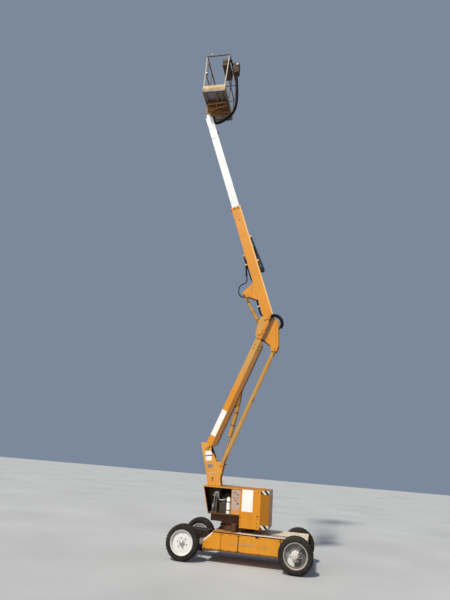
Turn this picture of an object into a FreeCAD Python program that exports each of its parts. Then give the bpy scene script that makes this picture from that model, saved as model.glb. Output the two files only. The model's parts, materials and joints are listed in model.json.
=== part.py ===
"""Articulating boom lift on a four-wheeled chassis, as a parametric document of separate pieces.

Millimetres. The origin is on the ground, half way between the axles and on the centre plane.
+X runs to the drive end, -X to the steered end and the cage, +Z up, and the left side is -Y.
The booms stand raised and the telescopic section is out, as the machine was left.
"""
import FreeCAD, Part
import math
import os
import re
import Sketcher
from FreeCAD import Placement, Rotation, Vector

# Driving sizes: name, value and what it is

SIZES = (
    ("wheel_base", 2000, "between the axles"),
    ("lashing_radius", 14, "of the holes to tie the machine down by"),
    ("lashing_plate", 20, "thickness of the lashing eyes"),
    ("lashing_height", 430, "of the front lashing holes above the ground"),
    ("lashing_half", 240, "half the width of the front lashing plate"),
    ("lashing_edge", 35, "from a lashing hole to its plate's edge"),
    ("lashing_spread", 600, "between the rear lashing eyes"),
    ("wheel_track", 1290, "between the middles of the tyres on one axle"),
    ("tyre_radius", 300, "outside, at the tread"),
    ("tyre_width", 210, "over the side walls"),
    ("rim_radius", 192, "of the bead seat"),
    ("rim_wall", 8, "thickness of the pressed rim and disc"),
    ("hub_radius", 78, "of the drive hub and of the steered wheel's hub flange"),
    ("spindle_radius", 25, "of the axle stubs that carry the wheels"),
    ("running_gap", 0.3, "between a shaft and what turns on it"),
    ("side_gap", 2, "beside a piece that swings between two others"),
    ("frame_setback", 335, "from the steer axle back to the front face of the wide frame"),
    ("frame_overhang", 190, "of the frame behind the drive axle"),
    ("frame_clear", 20, "between the frame's side and the tyres' inner faces"),
    ("frame_low", 205, "underside of the frame"),
    ("frame_top", 503, "top of the frame under the deck plate"),
    ("frame_slope", 165, "run of the sloping front corner"),
    ("frame_slope_drop", 137, "drop of the sloping front corner"),
    ("arch_setback", 240, "from the drive axle to the front of its arch"),
    ("tunnel_top", 400, "top of the arch over the drive axle"),
    ("nose_reach", 130, "of the nose in front of the steer axle"),
    ("nose_half", 170, "half the width of the nose"),
    ("nose_low", 345, "underside of the nose"),
    ("nose_top", 470, "top of the nose"),
    ("deck_plate", 12, "thickness of the top deck"),
    ("slot_width", 90, "width of the hose slot in the deck"),
    ("slot_length", 640, "length of the hose slot in the deck"),
    ("slot_depth", 60, "depth of the hose slot"),
    ("slot_setback", 60, "from the slewing pedestal to the hose slot"),
    ("slot_outside", 330, "from the centre plane to the hose slot's outer edge"),
    ("cover_plate", 4, "thickness of the side covers"),
    ("cover_gap", 6, "seam between two side covers"),
    ("drive_half", 67, "half the depth of the drive axle's beam"),
    ("drive_inset", 120, "of the drive axle's beam ends inside the frame's sides"),
    ("beam_width", 90, "steer axle beam, along the machine"),
    ("beam_height", 76, "steer axle beam"),
    ("kingpin_radius", 16, "of the steering pivots"),
    ("kingpin_depth", 40, "of the kingpins inside the wheels, past the tyre's inner face"),
    ("knuckle_radius", 38, "of the steering knuckle's body"),
    ("yoke_plate", 22, "thickness of the plates that hold a kingpin"),
    ("steer_arm", 120, "length of the steering arm"),
    ("steer_arm_plate", 20, "thickness of the steering arm"),
    ("track_rod_radius", 11, "of the rod between the steering arms"),
    ("track_end_half", 13, "half the height of its ends"),
    ("slew_centre", -150, "place of the slewing axis along the machine"),
    ("slew_radius", 310, "of the pedestal under the turntable"),
    ("slew_height", 125, "of the pedestal above the deck"),
    ("bed_plate", 25, "thickness of the turntable's base plate"),
    ("bed_half", 300, "half the width of the turntable's box bed"),
    ("floor_top", 812, "top of the compartment floor"),
    ("floor_plate", 22, "thickness of the compartment floor"),
    ("super_half", 450, "half the width of the turntable's housings"),
    ("roof_top", 1262, "top of the deck over the compartment"),
    ("roof_plate", 20, "thickness of that deck"),
    ("roof_front", 755, "from the origin to the front edge of the roof"),
    ("floor_front", 620, "from the origin to the front edge of the compartment floor"),
    ("shell_wall", 12, "wall of the compartment"),
    ("panel_front", 210, "from the origin to the front of the control panel"),
    ("box_front", 36, "from the origin to the front face of the tail box"),
    ("box_rear", 485, "from the origin to the tail's rear face"),
    ("box_low", 603, "underside of the tail box"),
    ("box_chamfer_long", 150, "length of the tail's cut corners along the machine"),
    ("box_chamfer_wide", 105, "width of the tail's cut corners"),
    ("post_gap", 84, "from the centre plane to the inner face of a post plate"),
    ("post_plate", 12, "thickness of a post plate"),
    ("pin_radius", 22, "of the main boom pins"),
    ("boss_radius", 50, "of the bosses round the main pins"),
    ("lower_pin_back", 850, "lower boom pin, forward of the origin"),
    ("lower_pin_height", 1950, "lower boom pin above the ground"),
    ("link_step_long", 330, "from a boom pin to its tie pin, along the machine"),
    ("link_step_drop", 310, "from a boom pin down to its tie pin"),
    ("lower_angle", 68.2, "of the lower boom above level"),
    ("lower_length", 2574, "between the lower boom's pins"),
    ("lower_half", 80, "half the width of the lower boom"),
    ("lower_above", 40, "from the pin line to the lower boom's top face"),
    ("lower_below", 160, "from the pin line to the lower boom's underside"),
    ("tube_wall", 8, "wall of the boom tubes"),
    ("lift_pin_along", 1090, "lift cylinder pin along the lower boom"),
    ("lift_pin_below", 205, "lift cylinder pin below the pin line"),
    ("barrel_radius", 40, "of the cylinder barrels"),
    ("rod_radius", 20, "of the cylinder rods"),
    ("eye_radius", 36, "of the cylinder and tie eyes"),
    ("eye_half", 25, "half the width of a rod eye"),
    ("lift_barrel_length", 690, "from its pin to the gland"),
    ("lift_stem", 698, "from the piston to the rod's eye"),
    ("upper_barrel_length", 560, "from its pin to the gland"),
    ("upper_stem", 640, "from the piston to the rod's eye"),
    ("tie_inner", 50, "from the centre plane to a tie bar"),
    ("tie_width", 28, "width of a tie bar"),
    ("tie_depth", 60, "depth of a tie bar"),
    ("knuckle_gap", 84, "from the centre plane to the inner face of a knuckle plate"),
    ("knuckle_plate", 12, "thickness of a knuckle plate"),
    ("upper_pin_along", 107, "upper boom pin behind the lower boom's top pin"),
    ("upper_pin_above", 340, "upper boom pin above the lower boom's top pin"),
    ("base_pin_along", 70, "upper cylinder's base pin behind the lower boom's top pin"),
    ("base_pin_above", 100, "upper cylinder's base pin above the lower boom's top pin"),
    ("upper_angle", 108.2, "of the upper boom, from level at the drive end"),
    ("upper_heel", 70, "from the upper boom's pin back to its end"),
    ("upper_length", 2980, "from the upper boom's pin to its front end"),
    ("upper_half", 75, "half the width of the upper boom"),
    ("upper_depth", 230, "of the upper boom"),
    ("upper_offset", 90, "from the pin to the upper boom's centre line"),
    ("rod_pin_along", 744, "upper cylinder's rod pin along the upper boom"),
    ("rod_pin_below", 296, "upper cylinder's rod pin below the upper boom's pin"),
    ("ear_plate", 12, "thickness of the ears on the booms"),
    ("ear_gap", 46, "from the centre plane to the inner face of an ear"),
    ("tele_depth", 185, "of the telescopic section"),
    ("tele_half", 57, "half the width of the telescopic section"),
    ("tele_rear", 2400, "from the upper boom's pin to the rear of the telescopic section"),
    ("tele_front", 5930, "from the upper boom's pin to the front of its tube"),
    ("tip_pin", 6100, "from the upper boom's pin to the cage pin"),
    ("pad_gap", 1, "between a wear pad and the telescopic section"),
    ("cage_left", 50, "from the cage pin to the cage's outer end"),
    ("cage_long", 600, "of the cage's floor along the boom"),
    ("cage_flare", 65, "by which the rails on the boom's side lean out at the top"),
    ("cage_half", 550, "half the cage's width"),
    ("cage_rise", 240, "from the cage pin to the underside of the floor"),
    ("cage_floor", 50, "depth of the floor frame"),
    ("cage_ring", 40, "width of the floor frame"),
    ("cage_ledge", 10, "of the floor frame under the edge of the floor plate"),
    ("floor_sheet", 8, "thickness of the floor plate"),
    ("floor_pan", 22, "depth of the pans under the floor plate"),
    ("pan_seam", 12, "between the two pans"),
    ("pan_seam_place", 290, "from the cage pin to the seam between the pans"),
    ("cage_rail_height", 1190, "of the top rail above the floor"),
    ("cage_mid_height", 620, "of the mid rail above the floor"),
    ("rail_radius", 16, "of the cage's top rails"),
    ("cage_post_radius", 15, "of the cage's posts"),
    ("mid_rail_radius", 13, "of the cage's mid rails"),
    ("post_sink", 12, "of the leaning posts' feet below the floor's top"),
    ("toe_height", 150, "of the toe board above the floor frame"),
    ("toe_plate", 4, "thickness of the toe board"),
    ("mount_plate", 10, "thickness of the plates that hold the cage pin"),
    ("mount_beam", 42, "depth of the bars under the cage"),
    ("corner_swell", 2.5, "of the ball at a corner of the rails, past the tubes"),
    ("gate_radius", 14, "of the drop bar across the cage's way in"),
    ("gate_length", 515, "of the drop bar, from its pivot"),
    ("gate_reach", 40, "from the post to the drop bar's pivot"),
    ("gate_pin_radius", 8, "of the drop bar's pivot"),
    ("console_long", 170, "of the cage's control box, along the boom"),
    ("console_left", 420, "from the centre plane to the control box's left end"),
    ("console_right", 120, "from the centre plane to the control box's right end"),
    ("console_height", 216, "of the control box"),
    ("console_gap", 20, "between the control box and the rail it hangs on"),
    ("hook_plate", 10, "thickness of the control box's hooks"),
    ("hook_width", 85, "of the control box's hooks"),
    ("junction_low", 1117, "from the cage pin up to the junction box outside the rails"),
    ("junction_height", 333, "of the junction box"),
    ("junction_gap", 50, "between the rail and the junction box"),
    ("junction_long", 155, "of the junction box along the boom"),
    ("junction_left", 290, "from the centre plane to the junction box's left side"),
    ("junction_wide", 180, "of the junction box"),
    ("bundle_radius", 27, "of the hose bundle under the cage"),
    ("boom_hose_radius", 12, "of the hose under the upper boom"),
    ("knuckle_hose_radius", 17, "of the hose over the knuckle"),
    ("carrier_half", 45, "half the width of the hose chain"),
    ("carrier_depth", 40, "of the hose chain's links"),
    ("carrier_pitch", 44, "between two links of the hose chain"),
    ("carrier_link", 40, "length of a link of the hose chain"),
    ("carrier_end", 2080, "along the upper boom to the hose chain's far end"),
    ("carrier_rise", 65, "of the hose chain off the boom at its bend"),
)
CARRIER_RUN = 20
CARRIER_RETURN = 5

doc = FreeCAD.newDocument("boom_lift")
sheet = doc.addObject("Spreadsheet::Sheet", "Sizes")
size = {}
row = 0


def put(alias, value, note):
    """One cell of the sheet, under its own name."""
    global row
    row += 1
    sheet.set(f"A{row}", alias)
    sheet.set(f"B{row}", str(round(value, 6)))
    sheet.set(f"C{row}", note)
    sheet.setAlias(f"B{row}", alias)
    size[alias] = round(value, 6)


for alias, value, note in SIZES:
    put(alias, value, note)


def turn(along, above, angle):
    """A step given along and above a boom, as a step along and above the ground."""
    c, s = math.cos(math.radians(angle)), math.sin(math.radians(angle))
    return along * c - above * s, along * s + above * c


# Places of the pins, worked out from the driving sizes

top_x, top_z = turn(size["lower_length"], 0, size["lower_angle"])
top_x -= size["lower_pin_back"]
top_z += size["lower_pin_height"]
upper_x = top_x + size["upper_pin_along"]
upper_z = top_z + size["upper_pin_above"]
base_x = top_x + size["base_pin_along"]
base_z = top_z + size["base_pin_above"]
tie_x = size["link_step_long"] - size["lower_pin_back"]
tie_z = size["lower_pin_height"] - size["link_step_drop"]
lift_x, lift_z = turn(size["lift_pin_along"], -size["lift_pin_below"], size["lower_angle"])
lift_x -= size["lower_pin_back"]
lift_z += size["lower_pin_height"]
eye_x, eye_z = turn(size["rod_pin_along"], size["rod_pin_below"], size["upper_angle"])
eye_x += upper_x
eye_z += upper_z
cage_x, cage_z = turn(size["tip_pin"], -size["upper_offset"], size["upper_angle"])
cage_x += upper_x
cage_z += upper_z

cage_foot = size["cage_flare"] * size["toe_height"] / size["cage_rail_height"] + 1
carrier_reach = CARRIER_RUN * size["carrier_pitch"]

PLACES = (
    ("frame_half", size["wheel_track"] / 2 - size["tyre_width"] / 2 - size["frame_clear"], "half the frame's width"),
    ("frame_front", size["wheel_base"] / 2 - size["frame_setback"], "origin to the wide frame's front face"),
    ("frame_rear", size["wheel_base"] / 2 + size["frame_overhang"], "origin to the frame's rear face"),
    ("nose_front", size["wheel_base"] / 2 + size["nose_reach"], "origin to the front of the nose"),
    ("tunnel_front", size["wheel_base"] / 2 - size["arch_setback"], "origin to the arch over the drive axle"),
    ("top_x", top_x, "lower boom's top pin"),
    ("top_z", top_z, "lower boom's top pin"),
    ("upper_x", upper_x, "upper boom's pin"),
    ("upper_z", upper_z, "upper boom's pin"),
    ("base_x", base_x, "upper cylinder's base pin"),
    ("base_z", base_z, "upper cylinder's base pin"),
    ("tie_x", tie_x, "tie bars' lower pin, which the lift rod shares"),
    ("tie_z", tie_z, "tie bars' lower pin"),
    ("lift_x", lift_x, "lift cylinder's pin on the lower boom"),
    ("lift_z", lift_z, "lift cylinder's pin on the lower boom"),
    ("lift_reach", math.hypot(lift_x - tie_x, lift_z - tie_z), "lift cylinder, pin to pin"),
    ("lift_tilt", math.degrees(math.atan2(tie_z - lift_z, tie_x - lift_x)), "way the lift rod points"),
    ("upper_reach", math.hypot(eye_x - base_x, eye_z - base_z), "upper cylinder, pin to pin"),
    ("upper_tilt", math.degrees(math.atan2(eye_z - base_z, eye_x - base_x)), "way the upper rod points"),
    ("cage_x", cage_x, "cage pin"),
    ("cage_z", cage_z, "cage pin"),
    ("cage_foot", cage_foot, "of the leaning posts' feet inside the toe board"),
    ("cage_lean", math.degrees(math.atan2(size["cage_flare"], size["cage_rail_height"])), "of the leaning posts"),
    ("cage_post_run", math.hypot(size["cage_flare"], size["cage_rail_height"]), "length of a leaning post"),
    ("carrier_tilt", math.degrees(math.asin(size["carrier_rise"] / carrier_reach)), "of the hose chain's long run"),
)
for alias, value, note in PLACES:
    put(alias, value, note)
doc.recompute()

ALIAS = re.compile(r"\b(" + "|".join(sorted(size, key=len, reverse=True)) + r")\b")


def bind(thing, property_name, text):
    """Bind a property to an expression written with the sheet's names."""
    thing.setExpression(property_name, ALIAS.sub(r"Sizes.\1", str(text)))


def place(thing, at, turned=None):
    """Put a piece at three bound distances, turned about an axis by a bound angle."""
    if turned:
        thing.Placement = Placement(Vector(), Rotation(Vector(*turned[0]), 1))
        bind(thing, "Placement.Rotation.Angle", turned[1])
    for axis, text in zip("xyz", at):
        bind(thing, f"Placement.Base.{axis}", text)
    return thing


def box(name, low, long, wide, high):
    """A block from its low corner and its three sizes."""
    thing = doc.addObject("Part::Box", name)
    bind(thing, "Length", long)
    bind(thing, "Width", wide)
    bind(thing, "Height", high)
    return place(thing, low)


def slab(name, x0, x1, half, z0, z1):
    """A block across the centre plane, between two places along the machine and two heights."""
    return box(name, (x0, f"-({half})", z0), f"({x1}) - ({x0})", f"2 * ({half})", f"({z1}) - ({z0})")


TURNED = {"x": ((0, 1, 0), "90"), "y": ((1, 0, 0), "-90"), "z": None}


def rod(name, axis, start, radius, length):
    """A round bar from its starting point along x, y or z."""
    thing = doc.addObject("Part::Cylinder", name)
    bind(thing, "Radius", radius)
    bind(thing, "Height", length)
    return place(thing, start, TURNED[axis])


def pin(name, x, z, radius, half):
    """A round bar across the centre plane."""
    return rod(name, "y", (x, f"-({half})", z), radius, f"2 * ({half})")


def origin_plane(body, role):
    return next(feature for feature in body.Origin.OriginFeatures if feature.Role == role)


def outline(body, name, role, corners):
    """A closed sketch whose corners start on a circle and go where the sheet binds them."""
    sketch = body.newObject("Sketcher::SketchObject", name)
    sketch.AttachmentSupport = (origin_plane(body, role), [""])
    sketch.MapMode = "FlatFace"
    count = len(corners)
    ring = [(100 * math.cos(2 * math.pi * i / count), 100 * math.sin(2 * math.pi * i / count)) for i in range(count)]
    for index in range(count):
        start, end = ring[index], ring[(index + 1) % count]
        sketch.addGeometry(Part.LineSegment(Vector(*start, 0), Vector(*end, 0)), False)
    for index in range(count):
        sketch.addConstraint(Sketcher.Constraint("Coincident", index, 2, (index + 1) % count, 1))
    for index, corner in enumerate(corners):
        for kind, text, value in zip(("DistanceX", "DistanceY"), corner, ring[index]):
            number = sketch.addConstraint(Sketcher.Constraint(kind, -1, 1, index, 1, value))
            bind(sketch, f"Constraints[{number}]", text)
    return sketch


def plate(name, corners, thick, inner="0"):
    """A plate cut to an outline in the XZ plane, whose near face lies at inner on the +Y side."""
    body = doc.addObject("PartDesign::Body", name)
    pad = body.newObject("PartDesign::Pad", name + "_pad")
    pad.Profile = outline(body, name + "_outline", "XZ_Plane", corners)
    bind(pad, "Length", thick)
    bind(body, "Placement.Base.y", f"({inner}) + ({thick})")
    return body


def plates(name, corners, thick, inner):
    """Two like plates, one on each side of the centre plane."""
    left = plate(name + "_left", corners, thick, f"-({inner}) - ({thick})")
    right = plate(name + "_right", corners, thick, inner)
    return [left, right]


def prism(name, corners, low, high):
    """A solid of an outline in the XY plane, between two heights."""
    body = doc.addObject("PartDesign::Body", name)
    pad = body.newObject("PartDesign::Pad", name + "_pad")
    pad.Profile = outline(body, name + "_outline", "XY_Plane", corners)
    bind(pad, "Length", f"({high}) - ({low})")
    bind(body, "Placement.Base.z", low)
    return body


def web(name, corners, half):
    """A solid of an outline in the XZ plane, across the centre plane."""
    return plate(name, corners, f"2 * ({half})", f"-({half})")


def lathe(name, corners):
    """A ring or disc turned about the Z axis from an outline of radius and height."""
    body = doc.addObject("PartDesign::Body", name)
    ring = body.newObject("PartDesign::Revolution", name + "_turned")
    ring.Profile = outline(body, name + "_outline", "XZ_Plane", corners)
    ring.ReferenceAxis = (ring.Profile[0], ["V_Axis"])
    ring.Angle = 360
    return body


def fuse(name, *pieces):
    """Pieces joined into one."""
    thing = doc.addObject("Part::MultiFuse", name)
    thing.Shapes = flat(pieces)
    thing.Refine = True
    return thing


def cut(name, base, *tools):
    """A piece with others cut out of it."""
    tools = flat(tools)
    thing = doc.addObject("Part::Cut", name)
    thing.Base = base
    thing.Tool = tools[0] if len(tools) == 1 else fuse(name + "_tools", tools)
    thing.Refine = True
    return thing


def flat(pieces):
    """Pieces and lists of pieces as one list."""
    found = []
    for piece in pieces:
        found.extend(flat(piece) if isinstance(piece, (list, tuple)) else [piece])
    return found


nodes = {}


def node(name, thing):
    """Mark a finished piece, whose label names its file."""
    thing.Label = name
    nodes[name] = thing
    return thing


# Chassis: a flat box frame with a sloping front, a nose for the steer axle and an arch at the drive axle

SLOT_START = "(slew_centre + slew_radius + slot_setback)"


def chassis():
    main = web("frame_main", (
        ("-frame_front", "frame_low"),
        ("tunnel_front", "frame_low"),
        ("tunnel_front + 60", "tunnel_top"),
        ("frame_rear", "tunnel_top"),
        ("frame_rear", "frame_top"),
        ("frame_slope - frame_front", "frame_top"),
        ("-frame_front", "frame_top - frame_slope_drop")), "frame_half")
    nose = slab("frame_nose", "-nose_front", "-frame_front + 20", "nose_half", "nose_low", "nose_top")
    lugs = [slab(f"nose_lug_{i}", f"-wheel_base / 2 + ({x0})", f"-wheel_base / 2 + ({x0}) + 20",
                 "70", "tyre_radius - 50", "nose_low + 10")
            for i, x0 in enumerate(("beam_width / 2 + side_gap", "-beam_width / 2 - side_gap - 20"))]
    slot = box("frame_slot", (SLOT_START, "-slot_outside", "frame_top - slot_depth"),
               "slot_length", "slot_width", "slot_depth + 1")
    covers = []
    seams = ("-frame_front + 10", "-330", "-15", "tunnel_front - 20")
    for i, (start, end) in enumerate(zip(seams, seams[1:])):
        high = "frame_low + 8", "frame_top - frame_slope_drop - 8" if i == 0 else "frame_top - 8"
        if i == 0:
            corners = ((start, high[0]), (f"{end} - cover_gap", high[0]), (f"{end} - cover_gap", "frame_top - 8"),
                       ("frame_slope - frame_front", "frame_top - 8"), (start, high[1]))
        else:
            corners = ((start, high[0]), (f"{end} - cover_gap", high[0]),
                       (f"{end} - cover_gap", high[1]), (start, high[1]))
        covers += plates(f"side_cover_{i}", corners, "cover_plate", "frame_half")
    eyes = [slab("lashing_plate_front", "-nose_front - lashing_plate", "-nose_front", "lashing_half",
                 "lashing_height - lashing_edge", "lashing_height + lashing_edge")]
    holes = []
    for side, sign in (("left", "-1"), ("right", "1")):
        at_y = f"{sign} * lashing_spread / 2"
        eyes.append(box(f"lashing_eye_{side}", ("frame_rear - lashing_plate", f"{at_y} - lashing_edge",
                                                "tunnel_top - 2 * lashing_edge"),
                        "lashing_plate", "2 * lashing_edge", "2 * lashing_edge + 1"))
        holes.append(rod(f"lashing_hole_rear_{side}", "x", ("frame_rear - lashing_plate - 1", at_y,
                                                            "tunnel_top - lashing_edge"),
                         "lashing_radius", "lashing_plate + 2"))
        holes.append(rod(f"lashing_hole_front_{side}", "x", ("-nose_front - lashing_plate - 1",
                                                             f"{sign} * (lashing_half - lashing_edge)",
                                                             "lashing_height"),
                         "lashing_radius", "lashing_plate + 2"))
    node("chassis_frame", cut("frame_cut", fuse("frame_joined", main, nose, lugs, covers, eyes), slot, holes))
    deck = slab("deck_sheet", "frame_slope - frame_front", "frame_rear", "frame_half - 10",
                "frame_top", "frame_top + deck_plate")
    gap = box("deck_slot", (SLOT_START, "-slot_outside", "frame_top - 1"),
              "slot_length", "slot_width", "deck_plate + 2")
    node("chassis_deck", cut("deck_cut", deck, gap))
    ring = rod("pedestal_drum", "z", ("slew_centre", "0", "frame_top + deck_plate"), "slew_radius", "slew_height - 35")
    flange = rod("pedestal_flange", "z", ("slew_centre", "0", "frame_top + deck_plate"), "slew_radius + 28", "14")
    race = rod("pedestal_race", "z", ("slew_centre", "0", "frame_top + deck_plate + slew_height - 35"),
               "slew_radius - 30", "35 - running_gap")
    node("slew_pedestal", fuse("pedestal_joined", ring, flange, race))


KINGPIN_Y = "(wheel_track / 2 - tyre_width / 2 + kingpin_depth)"


def steer_axle():
    beam = slab("beam_bar", "-(wheel_base + beam_width) / 2", "-(wheel_base - beam_width) / 2",
                f"{KINGPIN_Y} - knuckle_radius - 36", "tyre_radius - beam_height / 2", "tyre_radius + beam_height / 2")
    pivot = rod("beam_pivot", "x", ("-(wheel_base + beam_width) / 2 - side_gap", "0", "tyre_radius"),
                "pin_radius", "beam_width + 2 * side_gap")
    ends = []
    for side, sign in (("left", "-1"), ("right", "1")):
        for level, low in (("low", "tyre_radius - beam_height / 2 - yoke_plate"),
                           ("high", "tyre_radius + beam_height / 2")):
            inner = f"({KINGPIN_Y} - knuckle_radius - 90)"
            wide = "(knuckle_radius + 90)"
            start = inner if sign == "1" else f"-{inner} - {wide}"
            ends.append(box(f"yoke_{level}_{side}", ("-wheel_base / 2 - knuckle_radius - 2", start, low),
                            "2 * knuckle_radius + 4", wide, "yoke_plate"))
            ends.append(rod(f"yoke_end_{level}_{side}", "z", ("-wheel_base / 2", f"{sign} * {KINGPIN_Y}", low),
                            "knuckle_radius + 2", "yoke_plate"))
        ends.append(rod(f"kingpin_{side}", "z", ("-wheel_base / 2", f"{sign} * {KINGPIN_Y}",
                                                 "tyre_radius - beam_height / 2 - yoke_plate"),
                        "kingpin_radius", "beam_height + 2 * yoke_plate"))
    node("steer_axle", fuse("steer_axle_joined", beam, pivot, ends))


def steering():
    for side, sign in (("left", "-1"), ("right", "1")):
        at_y = f"{sign} * {KINGPIN_Y}"
        hub_end = "(wheel_track / 2 + 38)"
        body = rod(f"knuckle_body_{side}", "z", ("-wheel_base / 2", at_y, "tyre_radius - beam_height / 2 + side_gap"),
                   "knuckle_radius", "beam_height - 2 * side_gap")
        reach = f"{hub_end} - {KINGPIN_Y}"
        start = at_y if sign == "1" else f"-{hub_end}"
        stub = rod(f"knuckle_stub_{side}", "y", ("-wheel_base / 2", start, "tyre_radius"), "spindle_radius", reach)
        arm = box(f"knuckle_arm_{side}", ("-wheel_base / 2", f"{at_y} - 20", "tyre_radius - steer_arm_plate / 2"),
                  "steer_arm", "40", "steer_arm_plate")
        end = rod(f"knuckle_arm_end_{side}", "z",
                  ("-wheel_base / 2 + steer_arm", at_y, "tyre_radius - steer_arm_plate / 2"), "20", "steer_arm_plate")
        bore = rod(f"knuckle_bore_{side}", "z", ("-wheel_base / 2", at_y, "0"),
                   "kingpin_radius + running_gap", "2 * tyre_radius")
        node(f"steer_knuckle_{side}",
             cut(f"steer_knuckle_cut_{side}", fuse(f"steer_knuckle_joined_{side}", body, stub, arm, end), bore))
    rod_z = "tyre_radius - steer_arm_plate / 2 - running_gap - track_end_half"
    bar = rod("track_bar", "y", ("-wheel_base / 2 + steer_arm", f"-{KINGPIN_Y}", rod_z),
              "track_rod_radius", f"2 * {KINGPIN_Y}")
    ends = [rod(f"track_end_{side}", "z", ("-wheel_base / 2 + steer_arm", f"{sign} * {KINGPIN_Y}",
                                           f"{rod_z} - track_end_half"),
                "18", "2 * track_end_half") for side, sign in (("left", "-1"), ("right", "1"))]
    node("track_rod", fuse("track_rod_joined", bar, ends))


def drive_axle():
    inner = "(frame_half - drive_inset)"
    beam = slab("drive_beam", "wheel_base / 2 - drive_half", "wheel_base / 2 + drive_half", inner,
                "tyre_radius - drive_half", "tyre_radius + drive_half")
    saddles = [box(f"drive_saddle_{i}", ("wheel_base / 2 - 60", y, "tyre_radius + drive_half - 5"),
                   "120", "110", "tunnel_top - tyre_radius - drive_half + 5")
               for i, y in enumerate((f"20 - {inner}", f"{inner} - 130"))]
    ends = []
    for side, sign in (("left", -1), ("right", 1)):
        outer = "(wheel_track / 2 - tyre_width / 2 - 12)"
        start = inner if sign > 0 else f"-{outer}"
        ends.append(rod(f"drive_motor_{side}", "y", ("wheel_base / 2", start, "tyre_radius"), "80", f"{outer} - {inner}"))
        tip = "(wheel_track / 2 - 30)"
        start = outer if sign > 0 else f"-{tip}"
        ends.append(rod(f"drive_stub_{side}", "y", ("wheel_base / 2", start, "tyre_radius"),
                        "spindle_radius", f"{tip} - {outer}"))
    node("drive_axle", fuse("drive_axle_joined", beam, saddles, ends))


# Wheels: height in an outline is the distance outward from the middle of the tyre

TYRE = (
    ("rim_radius + running_gap", "-0.36 * tyre_width"),
    ("rim_radius + 22", "-0.46 * tyre_width"),
    ("0.8 * tyre_radius", "-0.5 * tyre_width"),
    ("0.92 * tyre_radius", "-0.47 * tyre_width"),
    ("0.98 * tyre_radius", "-0.38 * tyre_width"),
    ("tyre_radius", "-0.2 * tyre_width"),
    ("tyre_radius", "0.2 * tyre_width"),
    ("0.98 * tyre_radius", "0.38 * tyre_width"),
    ("0.92 * tyre_radius", "0.47 * tyre_width"),
    ("0.8 * tyre_radius", "0.5 * tyre_width"),
    ("rim_radius + 22", "0.46 * tyre_width"),
    ("rim_radius + running_gap", "0.36 * tyre_width"),
)


def rim_outline(disc, bulge):
    """Section of a wheel whose disc stands at disc, bulged outward by bulge in its middle."""
    bore = "spindle_radius + running_gap"
    return (
        ("rim_radius", "-0.36 * tyre_width"),
        ("rim_radius", "0.36 * tyre_width"),
        ("rim_radius + 16", "0.44 * tyre_width"),
        ("rim_radius + 10", "0.46 * tyre_width"),
        ("rim_radius - rim_wall", "0.38 * tyre_width"),
        ("rim_radius - rim_wall", f"{disc} + rim_wall"),
        ("rim_radius * 0.6", f"{disc} + rim_wall + {bulge}"),
        (bore, f"{disc} + rim_wall + {bulge}"),
        (bore, f"{disc} + {bulge} - 10"),
        ("rim_radius * 0.6", f"{disc} + {bulge} - 4"),
        ("rim_radius - rim_wall", f"{disc}"),
        ("rim_radius - rim_wall", "-0.36 * tyre_width"),
    )


def wheels():
    for end, sign_x, disc, bulge, boss in (("front", "-1", "0.18 * tyre_width", "10", "34"),
                                           ("rear", "1", "-0.22 * tyre_width", "6", "78")):
        for side, sign in (("left", "1"), ("right", "-1")):
            where = (f"{sign_x} * wheel_base / 2", f"-{sign} * wheel_track / 2", "tyre_radius")
            tyre = lathe(f"tyre_{end}_{side}_ring", TYRE)
            place(tyre, where, ((1, 0, 0), f"90 * {sign}"))
            node(f"tyre_{end}_{side}", tyre)
            disc_piece = lathe(f"rim_{end}_{side}_disc", rim_outline(disc, bulge))
            if end == "front":
                hub = lathe(f"rim_{end}_{side}_hub", (
                    ("0", "38 + side_gap"),
                    ("spindle_radius + running_gap", "38 + side_gap"),
                    ("spindle_radius + running_gap", "-15"),
                    ("hub_radius * 0.62", "-15"),
                    ("hub_radius * 0.62", f"{disc} + {bulge}"),
                    ("hub_radius * 0.58", f"{disc} + {bulge} + {boss}"),
                    ("hub_radius * 0.5", f"{disc} + {bulge} + {boss} + 6"),
                    ("0", f"{disc} + {bulge} + {boss} + 6")))
            else:
                hub = lathe(f"rim_{end}_{side}_hub", (
                    ("0", "-28"),
                    ("spindle_radius + running_gap", "-28"),
                    ("spindle_radius + running_gap", f"{disc} - 46"),
                    ("hub_radius", f"{disc} - 46"),
                    ("hub_radius", f"{disc} + {boss}"),
                    ("hub_radius * 0.72", f"{disc} + {boss} + 12"),
                    ("hub_radius * 0.55", f"{disc} + {boss} + 14"),
                    ("hub_radius * 0.5", f"{disc} + {boss} + 40"),
                    ("0", f"{disc} + {boss} + 44")))
            place(disc_piece, where, ((1, 0, 0), f"90 * {sign}"))
            place(hub, where, ((1, 0, 0), f"90 * {sign}"))
            node(f"rim_{end}_{side}", fuse(f"rim_{end}_{side}_joined", disc_piece, hub))


# Turntable: a box bed on the slewing ring, a compartment forward, the tail box behind

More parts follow.
